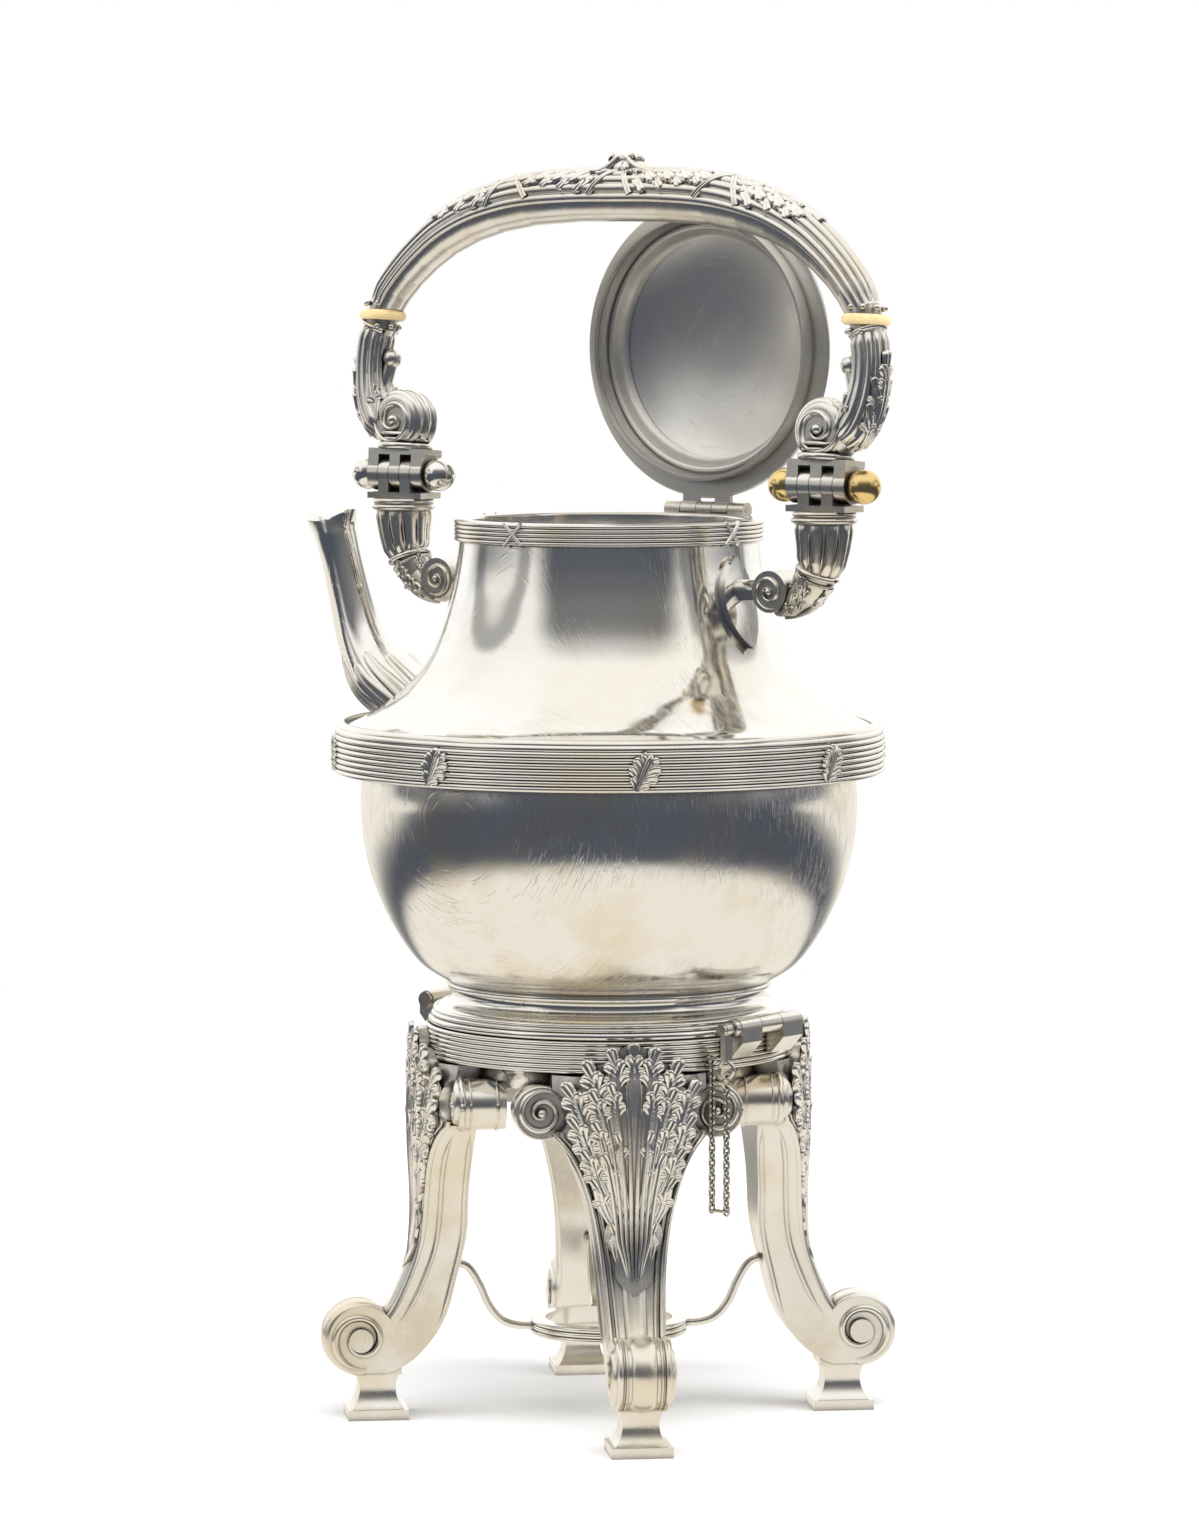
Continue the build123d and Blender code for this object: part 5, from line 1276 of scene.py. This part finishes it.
# ---- handle ----
@dataclass
class HandleOrnament:
    """Reeds, ribbons, acanthus sprays, crest and scrolls of the swing handle, worked upright."""

    half_grip: tuple = ((0.0, 350.5, 14.0), (16.0, 350.4, 14.2), (32.5, 349.4, 14.2), (45.0, 347.2, 13.8),
                        (55.5, 344.0, 13.2), (65.0, 339.4, 12.4), (72.6, 334.0, 11.6), (78.4, 328.8, 11.0),
                        (83.0, 323.6, 10.6), (86.2, 318.6, 10.2), (87.3, 317.6, 10.1))
    bail: tuple = ((87.5, 313.6, 9.8), (88.6, 312.0, 9.8), (89.8, 305.5, 9.6), (89.8, 298.5, 9.8),
                   (88.4, 291.5, 10.8), (85.4, 285.6, 11.4), (81.4, 282.6, 10.6), (76.8, 282.0, 9.0))
    crest_line: tuple = ((15.0, 356.4, 2.6), (10.5, 357.2, 3.4), (6.5, 358.3, 3.8), (3.4, 360.0, 3.6),
                         (2.1, 361.6, 3.0), (3.2, 362.3, 2.3), (4.7, 361.7, 2.0), (4.4, 360.5, 1.6))
    bulb: tuple = (76.8, 285.0)
    bulb_r: float = 8.4
    bulb_half: float = 5.5
    insulator: tuple = (87.5, 315.9)
    lean: float = -5.0
    pivot_z: float = 269.5
    knuckle: float = 76.3

    def make(self, shop: Workshop) -> None:
        """Build and dress the grip's and the bails' ornament."""
        lean = turned_about_x(self.lean, 0.0, self.pivot_z)
        shop.fit(self.grip_reeds().moved(lean), "grip_reeds", "handle", Finish.CHASED)
        shop.fit(self.grip_leaves().moved(lean), "grip_leaves", "handle", Finish.LEAF)
        shop.fit(self.crest().moved(lean), "grip_crest_scrolls", "handle", Finish.LEAF, ("grip_crest",))
        side = self.bail_side()
        for name, turn in ENDS:
            bail = Sketch().join(side, lean @ turned_about_z(turn))
            shop.fit(bail, f"{name}_bail_leaves", "handle", Finish.LEAF)

    def grip_tube(self) -> BentTube:
        """The whole grip, from -X to +X."""
        return BentTube([(-x, z, size) for x, z, size in self.half_grip[:0:-1]] + list(self.half_grip), 7.0)

    def grip_reeds(self) -> Sketch:
        """Reeds along the grip's outer side."""
        sketch = Sketch()
        tube = self.grip_tube()
        for k in range(9):
            tube.reed(sketch, -96 + 24 * k, 1.2, tube.long - 1.2, 0.205, 0.8, 110)
        return sketch

    def grip_leaves(self) -> Sketch:
        """Ribbons and sprays on top of the reeds."""
        sketch = Sketch()
        tube = self.grip_tube()
        middle = tube.long / 2
        skin = tube.skin(0.45)
        for offset in (-38.0, 0.0, 38.0):
            tube.ribbon_cross(sketch, middle + offset, 10.0, 0.5)
        for side in SIDES:
            for start, count in ((6.0, 4), (44.0, 3)):
                end = start + 6.6 * count + 2
                stem = [(middle + side * s, 0.0) for s in spaced(start, end, 16)]
                skin.lobe(sketch, stem, [1.5] * 17, [1.2 * Skin.taper(t / 16) for t in range(17)], 0.3)
                for k in range(count):
                    root = middle + side * (start + 6.2 * k)
                    for wing in SIDES:
                        hand = side * wing
                        tip = (root + side * 7.4, wing * (5.8 - 0.5 * k))
                        skin.frond(sketch, (root, 0.0), tip, hand * 1.2, 6.6, 1.25, 3, 40.0)
                        tip = (root + side * 5.2, wing * (9.0 - 0.9 * k))
                        skin.frond(sketch, (root, wing * 2.0), tip, hand * 1.0, 5.0, 1.0, 3, 44.0)
                last, tip = (middle + side * (end - 8), 0.0), (middle + side * (end + 2), 0.0)
                skin.frond(sketch, last, tip, 0.0, 6.4, 1.3, 3, 34.0)
        return sketch

    def crest(self) -> Sketch:
        """Two small scrolls that turn away from each other on a leafy swelling."""
        sketch = Sketch()
        skin, middle = self.grip_tube().skin(0.8), self.grip_tube().long / 2
        for side in SIDES:
            path = curve_through([(side * x, z, size) for x, z, size in self.crest_line], 6)
            rows = []
            for k, (x, z, size) in enumerate(path):
                outer = square_to(run_between(path[max(k - 1, 0)], path[min(k + 1, len(path) - 1)]))
                wide = 1.0 + 0.7 * min(k / len(path) * 1.6, 1.0)
                rows.append([Vector((x, 0.0, z)) + outer * (size / 2 * math.cos(t))
                             + SIDEWAYS * (size / 2 * wide * math.sin(t)) for t in full_turn(16)])
            sketch.grid(rows, close_v=True)
            scroll_sides(sketch, (side * 3.5, 361.0), 1.9, 2.1, 90.0, 0.4)
            ball(sketch, Vector((side * 1.2, 0.0, 358.2)), 2.9)
            for wing in SIDES:
                root, tip = (middle + side * 1.0, wing * 1.2), (middle + side * 8.0, wing * 4.0)
                skin.frond(sketch, root, tip, 0.6, 3.6, 1.2, 3, 46.0)
        return sketch

    def bail_side(self) -> Sketch:
        """The rear bail's reeds, leaves, bead ring and scroll."""
        sketch = Sketch()
        tube = BentTube(self.bail, 5.0)
        for k in range(12):
            tube.reed(sketch, 30 * k, 2.4, tube.long - 7, 0.235, 0.65)
        skin = tube.skin(0.45)
        skin.wings(sketch, (31.0, 1.0), (22.0, 3.4), 1.0, 4.4, 1.2, 3, 46.0)
        skin.wings(sketch, (28.0, 1.0), (15.5, 3.4), 1.0, 4.4, 1.2, 3, 46.0)
        skin.frond(sketch, (30.0, 0.0), (9.5, 0.0), 0.0, 6.2, 1.4, 5, 44.0)
        skin.wings(sketch, (32.0, 9.0), (21.0, 11.5), -1.0, 3.8, 1.2, 3, 46.0)
        tube.hoop(sketch, 1.4, 0.9, 0.8)
        hoops = ((7.3, 277.5, 0.95, 0.8), (5.7, 279.4, 0.8, 1.3), (5.7, 281.1, 0.7, 1.9))
        neck_hoops(sketch, self.knuckle, hoops)
        for k in range(8):
            turn = math.radians(22.5 + 45 * k)
            for lift in (-3.4, 3.4):
                at = Vector((self.insulator[0], 0.0, self.insulator[1] + lift))
                ball(sketch, at + Vector((5.2 * math.cos(turn), 5.2 * math.sin(turn), 0.0)), 0.85)
        scroll_sides(sketch, self.bulb, self.bulb_half, self.bulb_r, 0.0, 1.3)
        drum = drum_skin(*self.bulb, self.bulb_r - 0.15)
        for off, wide, high in ((0.0, 1.7, 1.1), (-3.4, 1.3, 0.8), (3.4, 1.3, 0.8)):
            heights = [high * Skin.taper(abs(k - 15) / 15) for k in range(31)]
            drum.bead(sketch, [(off, b) for b in spaced(60.0, 235.0, 30)], wide, heights, 10)
        return sketch


@dataclass
class ArmOrnament:
    """The fluted horn arms that carry the handle, with leaves and a scroll at the foot."""

    line: tuple = ((60.6, 235.9, 7.2), (65.2, 236.4, 8.0), (70.4, 239.4, 9.4), (74.2, 245.2, 11.0),
                   (75.9, 252.0, 13.0), (76.3, 260.8, 15.6))
    scroll: tuple = (60.3, 239.5)
    scroll_r: float = 5.9
    scroll_half: float = 4.5

    def make(self, shop: Workshop) -> None:
        """Build and dress both arms' ornament."""
        side = self.side()
        for name, turn in ENDS:
            shop.fit(Sketch().join(side, turned_about_z(turn)), f"{name}_arm_leaves", "kettle", Finish.LEAF)

    def side(self) -> Sketch:
        """One arm's ornament, at the rear."""
        sketch = Sketch()
        tube = BentTube(self.line)
        start, top = tube.long * 0.54, tube.long - 0.9
        for k in range(10):
            tube.reed(sketch, 36 * k, start, top, 0.29, 1.05, 16)
            tube.reed(sketch, 36 * k + 18, start + 2, top - 3.5, 0.07, 0.7, 12)
        tube.hoop(sketch, start - 0.4, 1.0, 1.1)
        tube.hoop(sketch, start - 2.4, 0.6, 0.7)
        tube.hoop(sketch, top, 0.9, 0.9)
        neck_hoops(sketch, self.line[-1][0], ((8.5, 259.9, 0.8, 0.9), (8.4, 261.6, 0.75, 0.6)))
        skin = tube.skin(0.2)
        low = 2.0
        for root, tip in ((low, 9.0), (low + 3, 12.5), (low + 6, 15.5)):
            for wing in SIDES:
                skin.frond(sketch, (root, wing * 14.5), (tip, wing * 9.5), -wing * 0.8, 3.6, 1.2, 3, 50.0)
                skin.frond(sketch, (root, wing * 4.0), (tip, wing * 2.6), wing * 0.8, 3.4, 1.1, 3, 46.0)
        skin.frond(sketch, (low, 18.8), (15.0, 18.8), 0.0, 4.0, 1.2, 3, 46.0)
        scroll_sides(sketch, self.scroll, self.scroll_half, self.scroll_r, -60.0, 1.0)
        return sketch


# ---- lid ----
@dataclass
class LidInside:
    """The moulded ring inside the lid, worked shut and then swung open."""

    base: float = 258.8
    hinge_y: float = 47.0
    hinge_z: float = 259.5
    opened: float = -90.0

    def make(self, shop: Workshop) -> None:
        """Build and dress the cove and the raised ring."""
        outline = profile(0.0, self.base, (
            (37.7, -3.0), (37.5, -3.0, 37.1, -0.8, 36.5, 0.4, 10), (36.3, 0.4, 35.5, -0.3, 34.7, 0.5, 10),
            (34.6, 0.8, 34.0, 2.9, 32.3, 4.9, 8), (33.6, 4.8), (35.8, 3.6), (37.7, 2.4)))
        sketch = Sketch().lathe(outline[::-1])
        turn = turned_about_x(self.opened, self.hinge_y, self.hinge_z)
        shop.fit(sketch.moved(turn), "lid_inside_ring", "lid", Finish.LID, sharp=50.0)


PARTS = (KettleBody, BandOrnament, SpoutPiece, LegOrnament, BurnerStraps, HandleOrnament, ArmOrnament,
         LidInside)


# ---- studio ----
# Each lamp's name, bearing from the camera's, distance, height, size and watts.
LAMPS = (("lamp_over", 10, 0.5, 1.9, 1.5, 30.0), ("lamp_left", -80, 1.6, 0.75, 1.1, 16.0),
         ("lamp_right", 75, 1.6, 0.85, 1.1, 16.0))
FLOOR_REACH = 30.0
WHITE, PAPER = (1.0, 1.0, 1.0), (0.93, 0.93, 0.935)
TABLE, TABLE_END = (0.98, 0.93, 0.84), (0.085, 0.095, 0.12)
SCREEN_LOW, SCREEN_HIGH, SCREEN_BEHIND = (0.90, 0.885, 0.85), (1.12, 1.11, 1.08), (1.25, 1.25, 1.25)
ROOM_LOW, ROOM_HIGH, FLAG = (0.085, 0.098, 0.125), (0.24, 0.235, 0.23), (0.10, 0.10, 0.11)


@dataclass
class Studio:
    """Camera, floor, lamps and surroundings."""

    bearing: float = 38.0
    away: float = 1.861
    high: float = 0.339
    pitch: float = -4.645
    side: float = -0.0027
    lens: float = 153.1
    middle: float = 0.17

    def make(self) -> None:
        """Set the whole studio up."""
        self.make_camera()
        self.make_floor()
        self.make_lamps()
        self.make_world()
        bpy.context.scene.view_settings.view_transform = "Standard"

    def make_camera(self) -> None:
        """The camera, at table height."""
        data = bpy.data.cameras.new("camera")
        data.lens = self.lens
        data.sensor_width = 36.0
        data.clip_end = 60.0
        camera = put("camera", data)
        turn = math.radians(self.bearing)
        right = Vector((math.cos(turn), math.sin(turn), 0.0))
        at = Vector((math.sin(turn) * self.away, -math.cos(turn) * self.away, self.high)) + right * self.side
        camera.location = at
        camera.rotation_euler = (math.radians(90 + self.pitch), 0.0, turn)
        bpy.context.scene.camera = camera

    def make_floor(self) -> None:
        """A white floor that keeps the object's soft shadow."""
        mesh = bpy.data.meshes.new("floor")
        corners = ((-1, -1), (1, -1), (1, 1), (-1, 1))
        mesh.from_pydata([(FLOOR_REACH * x, FLOOR_REACH * y, 0) for x, y in corners], [], [(0, 1, 2, 3)])
        floor = put("floor", mesh)
        sheet = Sheet("studio_floor")
        seen, mirrored, through = sheet.rays()
        paper = sheet.node("ShaderNodeBsdfDiffuse", {}, {"Color": PAPER}).outputs[0]
        apart = sheet.wire("ShaderNodeVectorMath", {"operation": "LENGTH"}, {0: sheet.place()}, "Value")
        toward = sheet.along(sheet.place(), self.bearing)
        edge = (apart - toward * 0.10).ease(0.34, 0.44) * toward.ease(-0.85, -0.25)
        tint = sheet.blend(edge, TABLE, TABLE_END)
        lit = sheet.mixed(apart.ease(0.35, 1.1) * seen + through, paper, sheet.glow("Emission", WHITE))
        mix = sheet.mixed(mirrored, lit, sheet.glow("Emission", tint))
        sheet.node("ShaderNodeOutputMaterial", {}, {"Surface": mix})
        mesh.materials.append(sheet.material)

    def lamp(self, name: str, bearing: float, away: float, high: float, size: float, watts: float) -> None:
        """Hang one soft square lamp that looks at the kettle's middle.

        Args:
            name: the lamp's name.
            bearing: its azimuth in degrees, as the camera's is counted.
            away: its level distance in metres.
            high: its height in metres.
            size: its side in metres.
            watts: its power.
        """
        data = bpy.data.lights.new(name, "AREA")
        data.shape = "SQUARE"
        data.size = size
        data.energy = watts
        lamp = put(name, data)
        turn = math.radians(bearing)
        lamp.location = (math.sin(turn) * away, -math.cos(turn) * away, high)
        aim = Vector((0.0, 0.0, self.middle)) - lamp.location
        lamp.rotation_euler = aim.to_track_quat("-Z", "Y").to_euler()
        lamp.visible_glossy = False

    def make_lamps(self) -> None:
        """Two side lamps and one overhead."""
        for name, off, away, high, size, watts in LAMPS:
            self.lamp(name, self.bearing + off, away, high, size, watts)

    def make_world(self) -> None:
        """Pale screens at the sides and overhead, and a dark room on the side that faces the kettle."""
        world = bpy.data.worlds.new("studio")
        bpy.context.scene.world = world
        sheet = Sheet("studio", world)
        seen, mirrored, through = sheet.rays()
        spot = sheet.node("ShaderNodeTexCoord").outputs["Generated"]
        facing, sideways = sheet.along(spot, self.bearing), sheet.along(spot, self.bearing + 90)
        height = sheet.wire("ShaderNodeSeparateXYZ", {}, {0: spot}, 2)
        behind, other = 0.0 - facing, 0.0 - sideways
        screens = sheet.blend(height.ease(-0.1, 0.8), SCREEN_LOW, SCREEN_HIGH)
        screens = sheet.blend(behind.ease(0.1, 0.8) * 0.7, screens, SCREEN_BEHIND)
        room = facing.ease(0.44, 0.72) * (1.0 - height.ease(0.42, 0.80))
        around = (facing + 0.7).ease(0.0, 0.35) * (1.0 - height.ease(0.04, 0.20)) * height.ease(-0.12, -0.04)
        room = room + around * (1.0 - room)
        depth = sheet.blend(height.ease(0.05, 0.6), ROOM_LOW, ROOM_HIGH)
        flags = sideways.ridge(0.78, 0.84, 0.90, 0.95) * (1.0 - height.ease(0.3, 0.7))
        flags = flags + other.ridge(0.86, 0.90, 0.93, 0.97) * 0.8
        shade = sheet.blend(flags * 0.75, sheet.blend(room, screens, depth), FLAG)
        first = sheet.mixed(mirrored, sheet.glow("Background", WHITE, 0.62), sheet.glow("Background", shade))
        both = sheet.mixed(seen + through, first, sheet.glow("Background", WHITE))
        sheet.node("ShaderNodeOutputWorld", {}, {"Surface": both})


NODE_FINISH = {
    "stand_ring": Finish.REEDED, "stand_apron": Finish.REEDED, "burner_ring": Finish.REEDED,
    "front_hinge_pin": Finish.FITTING, "lock_pin": Finish.FITTING, "lock_pin_pull": Finish.FITTING,
    "chain_staple": Finish.FITTING, "chain_staple_strand": Finish.FITTING, "chain_pin_strand": Finish.FITTING,
    "lid_hinge_pin": Finish.FITTING, "rear_pivot_pin": Finish.GILT, "front_pivot_pin": Finish.POLISHED,
    "rear_insulator_ring": Finish.IVORY, "front_insulator_ring": Finish.IVORY,
    "rear_neck_boss": Finish.POLISHED, "front_neck_boss": Finish.POLISHED, "lid_shell": Finish.LID,
    "lid_rim": Finish.LID, "lid_finial": Finish.POLISHED,
}


def dress_frame(shop: Workshop) -> None:
    """Give every carried-over CAD node its finish."""
    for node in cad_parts:
        kind = Finish.CAST if node.startswith(("leg_", "plinth_", "knee_", "burner_strut")) else Finish.CHASED
        shop.dress_node(node, NODE_FINISH.get(node, kind))


def main() -> None:
    """Build the dressed kettle."""
    logging.basicConfig(level=logging.INFO)
    shop = Workshop()
    dress_frame(shop)
    Studio().make()
    for part in PARTS:
        part().make(shop)


if __name__ == "__main__":
    main()
